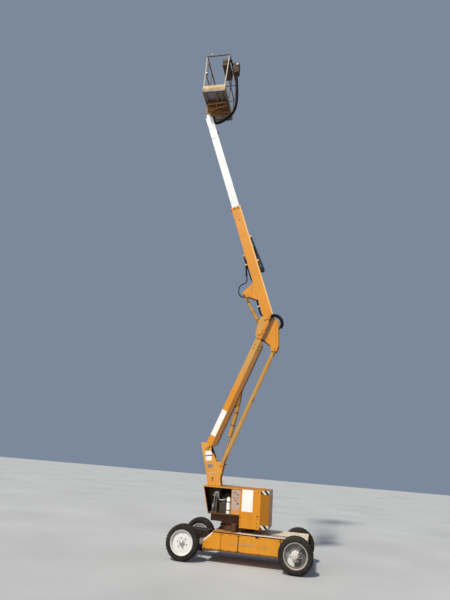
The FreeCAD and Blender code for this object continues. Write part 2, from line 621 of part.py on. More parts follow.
def turntable():
    ring_top = "(frame_top + deck_plate + slew_height)"
    disc = rod("bed_disc", "z", ("slew_centre", "0", ring_top), "slew_radius + 10", "bed_plate")
    main = slab("bed_box", "-floor_front + 20", "-box_front", "bed_half",
                f"{ring_top} + bed_plate - 1", "floor_top - floor_plate")
    floor = slab("bed_floor", "-floor_front", "-box_front - 2", "super_half - shell_wall - side_gap",
                 "floor_top - floor_plate", "floor_top")
    node("turntable_bed", fuse("turntable_bed_joined", disc, main, floor))
    motor = rod("slew_motor_can", "z", ("slew_centre + 20", "-400", "frame_top + deck_plate + 8"), "48",
                f"{ring_top} + bed_plate - frame_top - deck_plate - 8 - 0.3")
    foot = box("slew_motor_foot", ("slew_centre - 40", "-420", f"{ring_top} + bed_plate - 14"),
               "120", "420 - slew_radius - 10 - running_gap", "13.7")
    node("slew_motor", fuse("slew_motor_joined", motor, foot))
    slant = plate("shell_front", (
        ("-floor_front - 2", "floor_top - floor_plate"),
        ("-floor_front - 2 - shell_wall", "floor_top - floor_plate"),
        ("-roof_front + 2", "roof_top - roof_plate"),
        ("-roof_front + 2 + shell_wall", "roof_top - roof_plate")), "2 * super_half", "-super_half")
    roof = slab("shell_roof", "-roof_front", "-box_front - 2", "super_half", "roof_top - roof_plate", "roof_top")
    divider = slab("shell_divider", "-panel_front", "-panel_front + shell_wall", "super_half - 8",
                   "floor_top", "roof_top - roof_plate")
    notch = box("shell_notch", ("-roof_front - 20", "-post_gap - post_plate - 1", "0"),
                "roof_front - 465", "2 * (post_gap + post_plate + 1)", "2000")
    back = slab("shell_back_full", "-panel_front + shell_wall - 1", "-box_front - 2", "super_half",
                "floor_top", "roof_top - roof_plate + 1")
    back_cut = box("shell_back_room", ("-panel_front - 5", "-super_half - 5", "0"), "panel_front",
                   "2 * super_half + 5 - shell_wall", "2 * roof_top")
    node("compartment_shell",
         cut("shell_cut", fuse("shell_joined", slant, roof, divider, cut("shell_back", back, back_cut)), notch))
    corner = ("box_rear - box_chamfer_long", "super_half - box_chamfer_wide")
    tail = prism("tail_block", (
        ("-box_front", "-super_half"),
        (corner[0], "-super_half"),
        ("box_rear", f"-({corner[1]})"),
        ("box_rear", corner[1]),
        (corner[0], "super_half"),
        ("-box_front", "super_half")), "box_low", "roof_top")
    recess = rod("tail_recess", "z", ("slew_centre", "0", "box_low - 1"), "slew_radius + 14",
                 f"{ring_top} + bed_plate - box_low + 1")
    node("tail_box", cut("tail_cut", tail, recess))


def equipment():
    """What stands in the open compartment, from the front to the control panel."""
    tray = "floor_top"
    motor = rod("pump_motor", "z", ("-floor_front + 75", "-300", tray), "52", "150")
    pump = rod("pump_head", "z", ("-floor_front + 75", "-300", f"{tray} + 150"), "34", "60")
    foot = box("pump_foot", ("-floor_front + 10", "-365", tray), "130", "130", "12")
    node("pump_set", fuse("pump_set_joined", motor, pump, foot))
    block = box("valve_body", ("-floor_front + 95", "-400", f"{tray} + 262"), "70", "90", "110")
    coils = [rod(f"valve_coil_{i}", "x", ("-floor_front + 95 - 42", f"-385 + {60 * i}", f"{tray} + 290 + {50 * i}"),
                 "15", "50") for i in range(2)]
    stand = box("valve_stand", ("-floor_front + 122", "-412", tray), "16", "40", "263")
    node("valve_block", fuse("valve_block_joined", block, coils, stand))
    tank = box("tank_body", ("-floor_front + 170", "-330", tray), "150", "300", "270")
    cap = rod("tank_cap", "z", ("-floor_front + 245", "-180", f"{tray} + 270"), "32", "28")
    node("oil_tank", fuse("oil_tank_joined", tank, cap))
    node("filter_canister", fuse("filter_canister_joined",
                                 rod("canister_body", "z", ("-panel_front - 50", "-390", tray), "38", "265"),
                                 rod("canister_strap", "z", ("-panel_front - 50", "-390", f"{tray} + 150"), "40", "22"),
                                 rod("canister_cap", "z", ("-panel_front - 50", "-390", f"{tray} + 265"), "22", "18")))
    panel = slab("panel_plate", "-panel_front + shell_wall + 0.3", "-box_front - 2.3", "super_half - 10",
                 "floor_top + 30", "roof_top - roof_plate - 0.3")
    hollow = box("panel_hollow", ("-panel_front", "-super_half + 24", "floor_top"),
                 "panel_front", "2 * super_half", "roof_top")
    sill = box("panel_sill", ("-panel_front + shell_wall + 0.3", "-super_half + 4", "floor_top"),
               "panel_front - shell_wall - box_front - 2.6", "20", "31")
    knobs = [rod(f"panel_knob_{i}", "y", (f"-panel_front + {50 + 38 * (i % 3)}", "-super_half - 6",
                                          f"roof_top - 90 - {70 * (i // 3)}"), "9", "18") for i in range(6)]
    node("control_panel", fuse("control_panel_joined", cut("panel_cut", panel, hollow), sill, knobs))
    hinge = rod("door_hinge", "z", ("-panel_front - 5 - running_gap", "super_half - 6", "floor_top + 8"), "5",
                "roof_top - roof_plate - floor_top - 16")
    leaf = box("door_leaf", ("-floor_front + 10", "super_half - 10", "floor_top + 8"),
               "floor_front - panel_front - 18", "8", "roof_top - roof_plate - floor_top - 16")
    node("side_door", fuse("side_door_joined", hinge, leaf))


# Post: two plates with webs, leaning forward, which hold the lower boom and the tie bars

def post():
    sides = plates("post_side", (
        ("-640", "floor_top"),
        ("-745", "roof_top - 22"),
        ("-lower_pin_back - 112", "lower_pin_height + 78"),
        ("-lower_pin_back - 84", "lower_pin_height + 104"),
        ("-lower_pin_back + 18", "lower_pin_height + 92"),
        ("-lower_pin_back + 116", "lower_pin_height - 12"),
        ("tie_x - 100", "tie_z + 68"),
        ("tie_x + 8", "tie_z + 46"),
        ("tie_x + 48", "tie_z + 8"),
        ("tie_x + 36", "tie_z - 70"),
        ("tie_x + 2", "tie_z - 240"),
        ("-490", "roof_top - 22"),
        ("-470", "floor_top")), "post_plate", "post_gap")
    front = web("post_front_web", (
        ("-640", "floor_top"),
        ("-630", "floor_top"),
        ("-735", "roof_top - 22"),
        ("-lower_pin_back - 98", "lower_pin_height + 78"),
        ("-lower_pin_back - 108", "lower_pin_height + 78"),
        ("-745", "roof_top - 22")), "post_gap")
    back = web("post_back_web", (
        ("-482", "floor_top"),
        ("-474", "floor_top"),
        ("-496", "roof_top - 22"),
        ("tie_x - 62", "tie_z - 110"),
        ("tie_x - 70", "tie_z - 110"),
        ("-504", "roof_top - 22")), "post_gap")
    main_pin = pin("post_main_pin", "-lower_pin_back", "lower_pin_height", "pin_radius", "post_gap + post_plate + 14")
    heads = [rod(f"post_tie_stub_{i}", "y", ("tie_x", start, "tie_z"), "pin_radius - 6",
                 "post_gap + post_plate + 12 - tie_inner") for i, start in
             enumerate(("tie_inner", "-post_gap - post_plate - 12"))]
    node("post", fuse("post_joined", sides, front, back, main_pin, heads))


# Booms: each is drawn along its own X axis from its pin, its top face towards +Z, and then placed

def tube(name, x0, x1, half, z0, z1, wall="tube_wall"):
    """A square tube along X, open at both ends."""
    outer = slab(name + "_outer", x0, x1, half, z0, z1)
    inner = slab(name + "_inner", f"({x0}) - 5", f"({x1}) + 5", f"{half} - {wall}", f"{z0} + {wall}", f"{z1} - {wall}")
    return cut(name, outer, inner)


def lower_boom():
    body = web("lower_body", (
        ("150", "-lower_below"),
        ("lower_length - 190", "-lower_below"),
        ("lower_length - 40", "-boss_radius"),
        ("lower_length", "-boss_radius"),
        ("lower_length", "lower_above"),
        ("0", "lower_above"),
        ("-boss_radius * 0.8", "0"),
        ("0", "-boss_radius")), "lower_half")
    ends = [pin(f"lower_boss_{i}", x, "0", "boss_radius", "lower_half") for i, x in enumerate(("0", "lower_length"))]
    inner = slab("lower_inner", "180", "lower_length - 200", "lower_half - tube_wall",
                 "tube_wall - lower_below", "lower_above - tube_wall")
    ears = plates("lower_ear", (
        ("lift_pin_along - 130", "-lower_below + 1"),
        ("lift_pin_along - 34", "-lift_pin_below - 24"),
        ("lift_pin_along", "-lift_pin_below - 38"),
        ("lift_pin_along + 36", "-lift_pin_below - 14"),
        ("lift_pin_along + 260", "-lower_below + 1")), "ear_plate", "ear_gap")
    bore = pin("lower_bore", "0", "0", "pin_radius + running_gap", "lower_half + 5")
    far_bore = pin("lower_far_bore", "lower_length", "0", "pin_radius + running_gap", "lower_half + 5")
    lift_pin = pin("lower_lift_pin", "lift_pin_along", "-lift_pin_below", "pin_radius - 4", "ear_gap + ear_plate + 8")
    shape = fuse("lower_done", cut("lower_cut", fuse("lower_joined", body, ends, ears), inner, bore, far_bore), lift_pin)
    node("lower_boom", place(shape, ("-lower_pin_back", "0", "lower_pin_height"), ((0, -1, 0), "lower_angle")))


def tie_bars():
    pieces = []
    for side, start in (("left", "-tie_inner - tie_width"), ("right", "tie_inner")):
        bar = box(f"tie_bar_{side}", ("0", start, "-tie_depth / 2"), "lower_length", "tie_width", "tie_depth")
        eyes = [rod(f"tie_eye_{side}_{i}", "y", (x, start, "0"), "eye_radius", "tie_width")
                for i, x in enumerate(("0", "lower_length"))]
        bores = [rod(f"tie_bore_{side}_{i}", "y", (x, f"{start} - 1", "0"), "pin_radius - 6 + 2 * running_gap",
                     "tie_width + 2") for i, x in enumerate(("0", "lower_length"))]
        pieces.append(cut(f"tie_side_{side}", fuse(f"tie_joined_{side}", bar, eyes), bores))
    spacer = slab("tie_spacer", "lower_length * 0.55", "lower_length * 0.55 + 60", "tie_inner + 1",
                  "-tie_depth / 2 + 8", "tie_depth / 2 - 8")
    node("tie_bars", place(fuse("tie_bars_joined", pieces, spacer), ("tie_x", "0", "tie_z"),
                           ((0, -1, 0), "lower_angle")))


def cylinder(name, length, stem_length, reach):
    """A barrel from its pin along X, and the rod that slides in it, whose eye is at reach."""
    eye = pin(f"{name}_base_eye", "0", "0", "eye_radius", "eye_half + 8")
    can = rod(f"{name}_can", "x", ("eye_radius - 8", "0", "0"), "barrel_radius", f"{length} - eye_radius + 8")
    gland = rod(f"{name}_gland", "x", (f"{length} - 34", "0", "0"), "barrel_radius + 3", "34")
    port = rod(f"{name}_port", "z", (f"{length} - 70", "0", "barrel_radius - 4"), "11", "20")
    hole = rod(f"{name}_hole", "x", ("eye_radius + 30", "0", "0"), "rod_radius + running_gap", length)
    pin_hole = pin(f"{name}_pin_hole", "0", "0", "pin_radius - 4 + running_gap", "eye_half + 20")
    barrel = cut(f"{name}_barrel_cut", fuse(f"{name}_barrel_joined", eye, can, gland, port), hole, pin_hole)
    stem = rod(f"{name}_stem", "x", (f"{reach} - {stem_length}", "0", "0"), "rod_radius",
               f"{stem_length} - eye_radius + 6")
    head = pin(f"{name}_rod_eye", reach, "0", "eye_radius", "eye_half")
    eye_hole = pin(f"{name}_rod_hole", reach, "0", "pin_radius - 4", "eye_half + 5")
    return barrel, cut(f"{name}_rod_cut", fuse(f"{name}_rod_joined", stem, head), eye_hole)


def lift_cylinder():
    barrel, stem = cylinder("lift", "lift_barrel_length", "lift_stem", "lift_reach")
    for name, thing in (("lift_barrel", barrel), ("lift_rod", stem)):
        node(name, place(thing, ("lift_x", "0", "lift_z"), ((0, -1, 0), "lift_tilt")))


# Knuckle: two upright plates between the booms, with the tie bars' box behind

def boom_knuckle():
    corners = (
        ("top_x - 62", "top_z - 75"),
        ("top_x - 87", "top_z + 20"),
        ("top_x - 33", "top_z + 300"),
        ("top_x + 33", "top_z + 410"),
        ("top_x + 193", "top_z + 410"),
        ("top_x + 393", "top_z + 320"),
        ("top_x + 423", "top_z - 240"),
        ("top_x + link_step_long + 50", "top_z - link_step_drop - 50"),
        ("top_x + link_step_long - 65", "top_z - link_step_drop - 50"),
        ("top_x + link_step_long - 85", "top_z - 240"),
        ("top_x + 93", "top_z - 120"))
    sides = plates("knuckle_side", corners, "knuckle_plate", "knuckle_gap")
    box_web = slab("knuckle_box", "top_x + link_step_long - 70", "top_x + link_step_long - 58", "knuckle_gap",
                   "top_z - link_step_drop + 90", "top_z + 200")
    back_web = slab("knuckle_back", "top_x + 400", "top_x + 410", "knuckle_gap", "top_z - 230", "top_z + 210")
    pins = [pin("knuckle_top_pin", "top_x", "top_z", "pin_radius", "knuckle_gap + knuckle_plate + 14"),
            pin("knuckle_upper_pin", "upper_x", "upper_z", "pin_radius", "knuckle_gap + knuckle_plate + 14"),
            pin("knuckle_base_pin", "base_x", "base_z", "pin_radius - 4", "knuckle_gap + knuckle_plate + 10"),
            pin("knuckle_tie_pin", "top_x + link_step_long", "top_z - link_step_drop", "pin_radius - 6",
                "knuckle_gap + knuckle_plate + 10")]
    fitting = box("knuckle_fitting", ("top_x + 180", "-knuckle_gap - knuckle_plate - 44", "top_z + 330"),
                  "50", "45", "50")
    node("boom_knuckle", fuse("boom_knuckle_joined", sides, box_web, back_web, pins, fitting))


def upper_cylinder():
    barrel, stem = cylinder("upper", "upper_barrel_length", "upper_stem", "upper_reach")
    for name, thing in (("upper_barrel", barrel), ("upper_rod", stem)):
        node(name, place(thing, ("base_x", "0", "base_z"), ((0, -1, 0), "upper_tilt")))


UPPER_LOW = "(-upper_offset - upper_depth / 2)"
UPPER_HIGH = "(upper_depth / 2 - upper_offset)"


# Blocks on the upper boom: low corner and sizes of the hose's start, its spacer and end, and the chain's two feet
UPPER_FITTINGS = (
    (("1612", "-100", f"{UPPER_HIGH} - 1"), ("44", "40", "54")),
    (("1385", "-upper_half", f"{UPPER_HIGH} - 1"), ("30", "15", "22")),
    (("613", "-120", "216"), ("80", "62", "48")),
    (("carrier_end + carrier_depth * sin(carrier_tilt)", "-carrier_half", f"{UPPER_LOW} - carrier_depth - 2"),
     ("carrier_link", "2 * carrier_half", "carrier_depth + 3")),
    ((f"carrier_end - {CARRIER_RUN - CARRIER_RETURN} * carrier_pitch + 4", "-carrier_half",
      f"{UPPER_LOW} - carrier_depth - 2"), ("carrier_link", "2 * carrier_half", "carrier_depth + 3")),
)


def upper_boom():
    """The +Z side of its drawing is the underside, which carries the pin and the cylinder's ears."""
    beam = tube("upper_tube", "-upper_heel", "upper_length", "upper_half", UPPER_LOW, UPPER_HIGH)
    lug = pin("upper_lug", "0", "0", "boss_radius", "upper_half")
    lug_trim = slab("upper_lug_trim", "-boss_radius - 5", "boss_radius + 5", "upper_half - 14",
                    "-boss_radius - 5", "boss_radius + 5")
    ears = plates("upper_ear", (
        ("rod_pin_along - 250", f"{UPPER_HIGH} - 1"),
        ("rod_pin_along - 34", "rod_pin_below + 16"),
        ("rod_pin_along", "rod_pin_below + 38"),
        ("rod_pin_along + 40", "rod_pin_below + 6"),
        ("rod_pin_along + 190", f"{UPPER_HIGH} - 1")), "ear_plate", "ear_gap")
    pads = []
    for side, sign in (("left", "-1"), ("right", "1")):
        inner = "tele_half + pad_gap"
        wide = f"(upper_half - tube_wall - {inner})"
        start = f"-({inner}) - {wide}" if sign == "-1" else inner
        pads.append(box(f"upper_pad_{side}", ("upper_length - 90", start, "-upper_offset - 40"), "88", wide, "80"))
    for level, start in (("low", f"{UPPER_LOW} + tube_wall"), ("high", "tele_depth / 2 + pad_gap - upper_offset")):
        pads.append(box(f"upper_pad_{level}", ("upper_length - 90", "-30", start), "88", "60",
                        "upper_depth / 2 - tube_wall - tele_depth / 2 - pad_gap"))
    collar = tube("upper_collar", "upper_length - 60", "upper_length", "upper_half + 6",
                  f"{UPPER_LOW} - 6", f"{UPPER_HIGH} + 6", "12")
    bore = pin("upper_bore", "0", "0", "pin_radius + running_gap", "upper_half + 5")
    heads = [rod(f"upper_ear_boss_{i}", "y", ("rod_pin_along", start, "rod_pin_below"), "eye_radius - 6", "ear_plate")
             for i, start in enumerate(("-ear_gap - 2 * ear_plate", "ear_gap + ear_plate"))]
    fittings = [box(f"upper_fitting_{i}", low, *sizes) for i, (low, sizes) in enumerate(UPPER_FITTINGS)]
    shape = cut("upper_cut", fuse("upper_joined", beam, cut("upper_lug_cut", lug, lug_trim), ears, pads, collar,
                                  heads, fittings), bore)
    node("upper_boom", place(shape, ("upper_x", "0", "upper_z"), ((0, -1, 0), "upper_angle")))


def tele_boom():
    beam = tube("tele_tube", "tele_rear", "tele_front", "tele_half",
                "-upper_offset - tele_depth / 2", "tele_depth / 2 - upper_offset")
    cap = slab("tele_cap", "tele_front - 14", "tele_front", "tele_half - 1",
               "-upper_offset - tele_depth / 2 + 1", "tele_depth / 2 - upper_offset - 1")
    lugs = plates("tele_lug", (
        ("tele_front - 60", "-upper_offset - 60"),
        ("tip_pin - 20", "-upper_offset - 40"),
        ("tip_pin + 34", "-upper_offset - 18"),
        ("tip_pin + 34", "-upper_offset + 18"),
        ("tip_pin - 20", "-upper_offset + 40"),
        ("tele_front - 60", "-upper_offset + 60")), "ear_plate", "tele_half - ear_plate")
    head = pin("tele_pin", "tip_pin", "-upper_offset", "pin_radius - 4", "tele_half + 10")
    node("tele_boom", place(fuse("tele_joined", beam, cap, lugs, head), ("upper_x", "0", "upper_z"),
                            ((0, -1, 0), "upper_angle")))


CHAIN_BEND = f"(carrier_end - {CARRIER_RUN} * carrier_pitch)"


# Hose chain: stiff links along the back of the upper boom, with one bend

def hose_chain():
    deep, pitch, tilt = "carrier_depth", "carrier_pitch", "carrier_tilt"
    high = f"({UPPER_LOW} - 2)"
    links = []
    for i in range(CARRIER_RUN):
        link = doc.addObject("Part::Box", f"chain_link_{i}")
        bind(link, "Length", "carrier_link" if i else pitch)
        bind(link, "Width", "2 * carrier_half")
        bind(link, "Height", deep)
        links.append(place(link, (f"carrier_end - {i} * {pitch} * cos({tilt})", "-carrier_half",
                                  f"{high} - {i} * {pitch} * sin({tilt})"), ((0, -1, 0), f"180 + {tilt}")))
    spine = plate("chain_spine", (
        ("carrier_end", high),
        (CHAIN_BEND, f"{high} - carrier_rise"),
        (CHAIN_BEND, f"{high} - carrier_rise - {deep} + 8"),
        ("carrier_end", f"{high} - {deep} + 8")), "2 * carrier_half - 30", "15 - carrier_half")
    bend = pin("chain_bend", CHAIN_BEND, f"{high} - (carrier_rise + {deep}) / 2",
               f"(carrier_rise + {deep}) / 2", "carrier_half")
    for i in range(CARRIER_RETURN):
        links.append(box(f"chain_return_{i}", (f"{CHAIN_BEND} + {i} * {pitch}", "-carrier_half", f"{high} - {deep}"),
                         "carrier_link" if i < CARRIER_RETURN - 1 else f"{pitch} + 4", "2 * carrier_half", deep))
    strip = box("chain_return_spine", (CHAIN_BEND, "15 - carrier_half", f"{high} - {deep} + 8"),
                f"{CARRIER_RETURN} * {pitch}", "2 * carrier_half - 30", f"{deep} - 16")
    node("hose_chain", place(fuse("chain_joined", spine, bend, strip, links), ("upper_x", "0", "upper_z"),
                             ((0, -1, 0), "upper_angle")))


# Hoses: straight runs joined by arcs that are as large as the two runs beside them allow

KNUCKLE_HOSE = (
    (318, -116, 4712), (352, -116, 4752), (410, -116, 4768), (475, -116, 4752), (540, -116, 4712),
    (580, -105, 4650), (590, -85, 4580), (568, -60, 4515), (513, -45, 4486),
)
BOOM_HOSE = (
    (-348, -80, 6200), (-312, -80, 6090), (-283, -80, 5990), (-268, -80, 5870), (-262, -80, 5755), (-245, -80, 5665),
    (-236, -86, 5585), (-272, -95, 5522), (-342, -98, 5500), (-398, -98, 5440), (-412, -98, 5360),
    (-400, -98, 5265), (-345, -98, 5200), (-285, -98, 5185), (-232, -98, 5200),
)
CAGE_BUNDLE = (
    (737, -200, 1120), (745, -190, 977), (757, -165, 817), (769, -130, 637), (775, -85, 457), (762, -30, 297),
    (722, 45, 167), (647, 105, 67), (547, 140, -13), (437, 155, -88), (322, 160, -153), (217, 160, -178),
    (140, 160, -134), (115, 160, -42), (117, 160, 48),
)


def hose(name, points, radius):
    """A hose along points chosen by hand, the first and last of them inside their fittings."""
    points = [Vector(*point) for point in points]
    edges, bends, start = [], [], points[0]
    for before, corner, after in zip(points, points[1:], points[2:]):
        arriving, leaving = corner - before, after - corner
        reach = 0.45 * min(arriving.Length, leaving.Length)
        bend = reach / math.tan(arriving.getAngle(leaving) / 2)
        arriving.normalize()
        leaving.normalize()
        inward = leaving - arriving
        inward.normalize()
        first, last = corner - arriving * reach, corner + leaving * reach
        edges.append(Part.LineSegment(start, first))
        edges.append(Part.Arc(first, corner + inward * (math.hypot(bend, reach) - bend), last))
        bends.append(round(bend))
        start = last
    edges.append(Part.LineSegment(start, points[-1]))
    path = Part.Wire([edge.toShape() for edge in edges])
    ring = Part.Wire(Part.Circle(points[0], points[1] - points[0], size[radius]).toShape())
    thing = doc.addObject("Part::Feature", name)
    thing.Shape = path.makePipeShell([ring], True, False)
    share = thing.Shape.Volume / (math.pi * size[radius] ** 2 * path.Length)
    print(f"{name}: {path.Length:.0f} mm long, volume {share:.4f} of section times length, radii {bends}")
    return thing


def hoses():
    node("hose_knuckle", hose("knuckle_hose", KNUCKLE_HOSE, "knuckle_hose_radius"))
    node("hose_boom", hose("boom_hose", BOOM_HOSE, "boom_hose_radius"))
    on_pin("cage_hoses", hose("cage_bundle", CAGE_BUNDLE, "bundle_radius"))


# Cage: drawn from the cage pin and then placed on it

FLOOR = "cage_rise"
DECK = "(cage_rise + cage_floor)"
RIGHT = "(cage_long - cage_left)"
OUTER = "(toe_plate + rail_radius - cage_left)"
INNER = f"({RIGHT} - toe_plate - rail_radius - cage_foot)"
INNER_TOP = f"({INNER} + cage_flare)"
INNER_MID = f"({INNER} + cage_flare * cage_mid_height / cage_rail_height)"
SIDE = "(cage_half - toe_plate - rail_radius)"
TOP = f"({DECK} + cage_rail_height)"
MID = f"({DECK} + cage_mid_height)"
PIVOT_X = f"({OUTER} + gate_reach)"
PIVOT_Y = f"(-{SIDE} + rail_radius + gate_radius + 6)"


def on_pin(name, thing):
    return node(name, place(thing, ("cage_x", "0", "cage_z")))


def cage_mount():
    beam_low = "(cage_rise - mount_beam)"
    sides = plates("mount_side", (
        ("-34", "-26"),
        ("0", "-40"),
        ("34", "-26"),
        ("cage_long * 0.62", f"{beam_low} - 20"),
        ("cage_long * 0.62", beam_low),
        ("-cage_left + 6", beam_low),
        ("-cage_left + 6", f"{beam_low} - 20")), "mount_plate", "tele_half + 12")
    boss = [rod(f"mount_boss_{i}", "y", ("0", start, "0"), "eye_radius + 2", "28") for i, start in
            enumerate(("-tele_half - 30", "tele_half + 2"))]
    bore = pin("mount_bore", "0", "0", "pin_radius - 4 + running_gap", "tele_half + 60")
    rails = [slab(f"mount_rail_{i}", x, f"{x} + 50", "cage_half - 30", beam_low, FLOOR)
             for i, x in enumerate(("-cage_left + 40", "cage_long * 0.45", "cage_long * 0.45 + 140"))]
    bars = [box(f"mount_bar_{i}", ("-cage_left + 20", y, beam_low), "cage_long - 40", "40", "mount_beam")
            for i, y in enumerate(("-230", "190"))]
    bracket = box("mount_hose_bracket", ("88", "tele_half + 12 + mount_plate - 1", "40"), "60", "110", "14")
    on_pin("cage_mount", cut("mount_cut", fuse("mount_joined", sides, boss, rails, bars, bracket), bore))


def cage_floor():
    """The floor plate, dropped into its frame, with two pans under it."""
    lap = "(cage_ring + cage_ledge + 1)"
    under = f"({DECK} - floor_sheet)"
    pieces = [slab("floor_plate_top", "cage_ring + running_gap - cage_left",
                   f"{RIGHT} - cage_ring - cage_ledge - running_gap", "cage_half - cage_ring - running_gap", under, DECK)]
    for i, (start, end) in enumerate(((f"{lap} - cage_left", "pan_seam_place - pan_seam / 2"),
                                      ("pan_seam_place + pan_seam / 2", f"{RIGHT} - {lap} - cage_ledge"))):
        pieces.append(slab(f"floor_pan_{i}", start, end, f"cage_half - {lap}", f"{under} - floor_pan", under))
    on_pin("cage_floor", fuse("floor_joined", pieces))


def toe_board():
    outer = slab("toe_outer", "-cage_left", RIGHT, "cage_half", DECK, f"{DECK} + toe_height")
    inner = slab("toe_inner", "-cage_left + toe_plate", f"{RIGHT} - toe_plate", "cage_half - toe_plate",
                 f"{DECK} - 1", f"{DECK} + toe_height + 1")
    on_pin("cage_toe_board", cut("toe_cut", outer, inner))


def cage_frame():
    ring = cut("floor_ring", slab("ring_outer", "-cage_left", RIGHT, "cage_half", FLOOR, DECK),
               slab("ring_hole", "cage_ring + cage_ledge - cage_left", f"{RIGHT} - cage_ring - 2 * cage_ledge",
                    "cage_half - cage_ring - cage_ledge", f"{FLOOR} - 1", f"{DECK} + 1"),
               slab("ring_seat", "cage_ring - cage_left", f"{RIGHT} - cage_ring - cage_ledge",
                    "cage_half - cage_ring", f"{DECK} - floor_sheet", f"{DECK} + 1"))
    bars = []
    for i, y in enumerate((f"-{SIDE}", "0", SIDE)):
        bars.append(rod(f"cage_post_{i}", "z", (OUTER, y, f"{DECK} - post_sink"), "cage_post_radius",
                        "cage_rail_height + post_sink"))
        foot = (f"{INNER} - post_sink * tan(cage_lean)", y, f"{DECK} - post_sink")
        leaning = rod(f"cage_leaning_post_{i}", "z", foot, "cage_post_radius", "cage_post_run + post_sink")
        bars.append(place(leaning, foot, ((0, 1, 0), "cage_lean")))
    top, mid = (TOP, "rail_radius"), (MID, "mid_rail_radius")
    for i, (end, y, (z, radius)) in enumerate(((INNER_TOP, f"-{SIDE}", top), (INNER_TOP, SIDE, top),
                                               (INNER_MID, SIDE, mid))):
        bars.append(rod(f"cage_end_rail_{i}", "x", (OUTER, y, z), radius, f"{end} - {OUTER}"))
    for i, (x, (z, radius)) in enumerate(((OUTER, top), (INNER_TOP, top), (OUTER, mid), (INNER_MID, mid))):
        bars.append(rod(f"cage_side_rail_{i}", "y", (x, f"-{SIDE}", z), radius, f"2 * {SIDE}"))
    for i, (x, y) in enumerate(((OUTER, f"-{SIDE}"), (INNER_TOP, f"-{SIDE}"), (OUTER, SIDE), (INNER_TOP, SIDE))):
        ball = doc.addObject("Part::Sphere", f"cage_corner_{i}")
        bind(ball, "Radius", "rail_radius + corner_swell")
        bars.append(place(ball, (x, y, TOP)))
    bars.append(box("gate_bracket", (OUTER, f"-{SIDE} - 8", f"{MID} - 22"), "gate_reach + 14", "22", "44"))
    bars.append(rod("gate_pin", "y", (PIVOT_X, f"-{SIDE}", MID), "gate_pin_radius",
                    f"rail_radius + 2 * gate_radius + 6 + side_gap + 6"))
    bars.append(rod("gate_pin_head", "y", (PIVOT_X, f"{PIVOT_Y} + gate_radius + side_gap", MID),
                    "gate_pin_radius + 5", "6"))
    arm = slab("junction_arm", INNER_TOP, f"{JUNCTION_X} - 12", "40", f"{TOP} - 6", f"{TOP} + 6")
    drop = box("junction_drop", (f"{JUNCTION_X} - 12", "-40", f"{TOP} - 160"), "12", "80", "166")
    for piece in (arm, drop):
        bind(piece, "Placement.Base.y", "junction_wide / 2 - junction_left - 40")
    on_pin("cage_frame", fuse("cage_frame_joined", ring, bars, arm, drop))


def gate_bar():
    """The drop bar, which stands raised beside its post."""
    hub = rod("gate_hub", "y", (PIVOT_X, f"{PIVOT_Y} - gate_radius", MID), "gate_radius + 6", "2 * gate_radius")
    bar = rod("gate_tube", "z", (PIVOT_X, PIVOT_Y, MID), "gate_radius - 1", "gate_length")
    hole = rod("gate_hole", "y", (PIVOT_X, f"-{SIDE}", MID), "gate_pin_radius + running_gap", "100")
    on_pin("cage_gate_bar", cut("gate_cut", fuse("gate_joined", hub, bar), hole))


JUNCTION_X = f"({INNER_TOP} + rail_radius + junction_gap)"


def cage_boxes():
    """The control box, hung over the rail by a hook, and the junction box outside the rails."""
    back = f"({INNER_TOP} - rail_radius - console_gap)"
    width = "(console_left + console_right)"
    case = box("control_case", (f"{back} - console_long", "-console_left", f"{TOP} - console_gap - console_height"),
               "console_long", width, "console_height")
    neck_x = f"({back} - 50)"
    over = f"({TOP} + rail_radius + running_gap)"
    outside = f"({INNER_TOP} + rail_radius + running_gap)"
    hooks = []
    for i, start in enumerate(("80 - console_left", "console_right - hook_width - 10")):
        hooks.append(box(f"control_neck_{i}", (neck_x, start, f"{TOP} - console_gap - 1"), "hook_plate", "hook_width",
                         f"{over} + hook_plate - {TOP} + console_gap + 1"))
        hooks.append(box(f"control_hook_{i}", (neck_x, start, over), f"{outside} + hook_plate - {neck_x}",
                         "hook_width", "hook_plate"))
        hooks.append(box(f"control_lip_{i}", (outside, start, f"{TOP} - 50"), "hook_plate", "hook_width",
                         f"{over} - {TOP} + 50 + 1"))
    sticks = [rod(f"control_stick_{i}", "z", (f"{back} - 110", f"{y} - console_left", f"{TOP} - console_gap - 1"),
                  "8", "70") for i, y in enumerate(("90", "270", "450"))]
    on_pin("cage_control_box", fuse("control_joined", case, hooks, sticks))
    at = (JUNCTION_X, "-junction_left", "junction_low")
    on_pin("cage_junction_box", fuse("junction_joined",
                                     box("junction_case", at, "junction_long", "junction_wide", "junction_height"),
                                     rod("junction_cap", "z", (f"{JUNCTION_X} + junction_long / 2",
                                                               "junction_wide / 2 - junction_left",
                                                               "junction_low + junction_height - 1"), "38", "40")))


def build_all():
    chassis()
    steer_axle()
    steering()
    drive_axle()
    wheels()
    turntable()
    equipment()
    post()
    lower_boom()
    tie_bars()
    lift_cylinder()
    boom_knuckle()
    upper_cylinder()
    upper_boom()
    tele_boom()
    hose_chain()
    hoses()
    cage_mount()
    cage_floor()
    toe_board()
    cage_frame()
    gate_bar()
    cage_boxes()


def write():
    """Check every object of the document, then write each piece to its own file."""
    doc.recompute()
    bad = [thing.Name for thing in doc.Objects if {"Invalid", "Error"} & set(thing.State)]
    if bad:
        raise RuntimeError("objects that failed: " + ", ".join(bad))
    os.makedirs("parts", exist_ok=True)
    for name, thing in nodes.items():
        shape = thing.Shape
        if shape.isNull() or not shape.isValid() or not shape.Solids:
            raise RuntimeError("no valid solid in " + name)
        shape.exportStep(f"parts/{name}.step")
        print(f"{name:22s} solids {len(shape.Solids)} volume {shape.Volume / 1e6:9.3f} litres")


build_all()
write()
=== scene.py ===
"""Looks of an articulating boom lift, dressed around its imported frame. Metres, in the frame's own axes."""
import json
import math
import bmesh
import bpy
from mathutils import Matrix, Vector


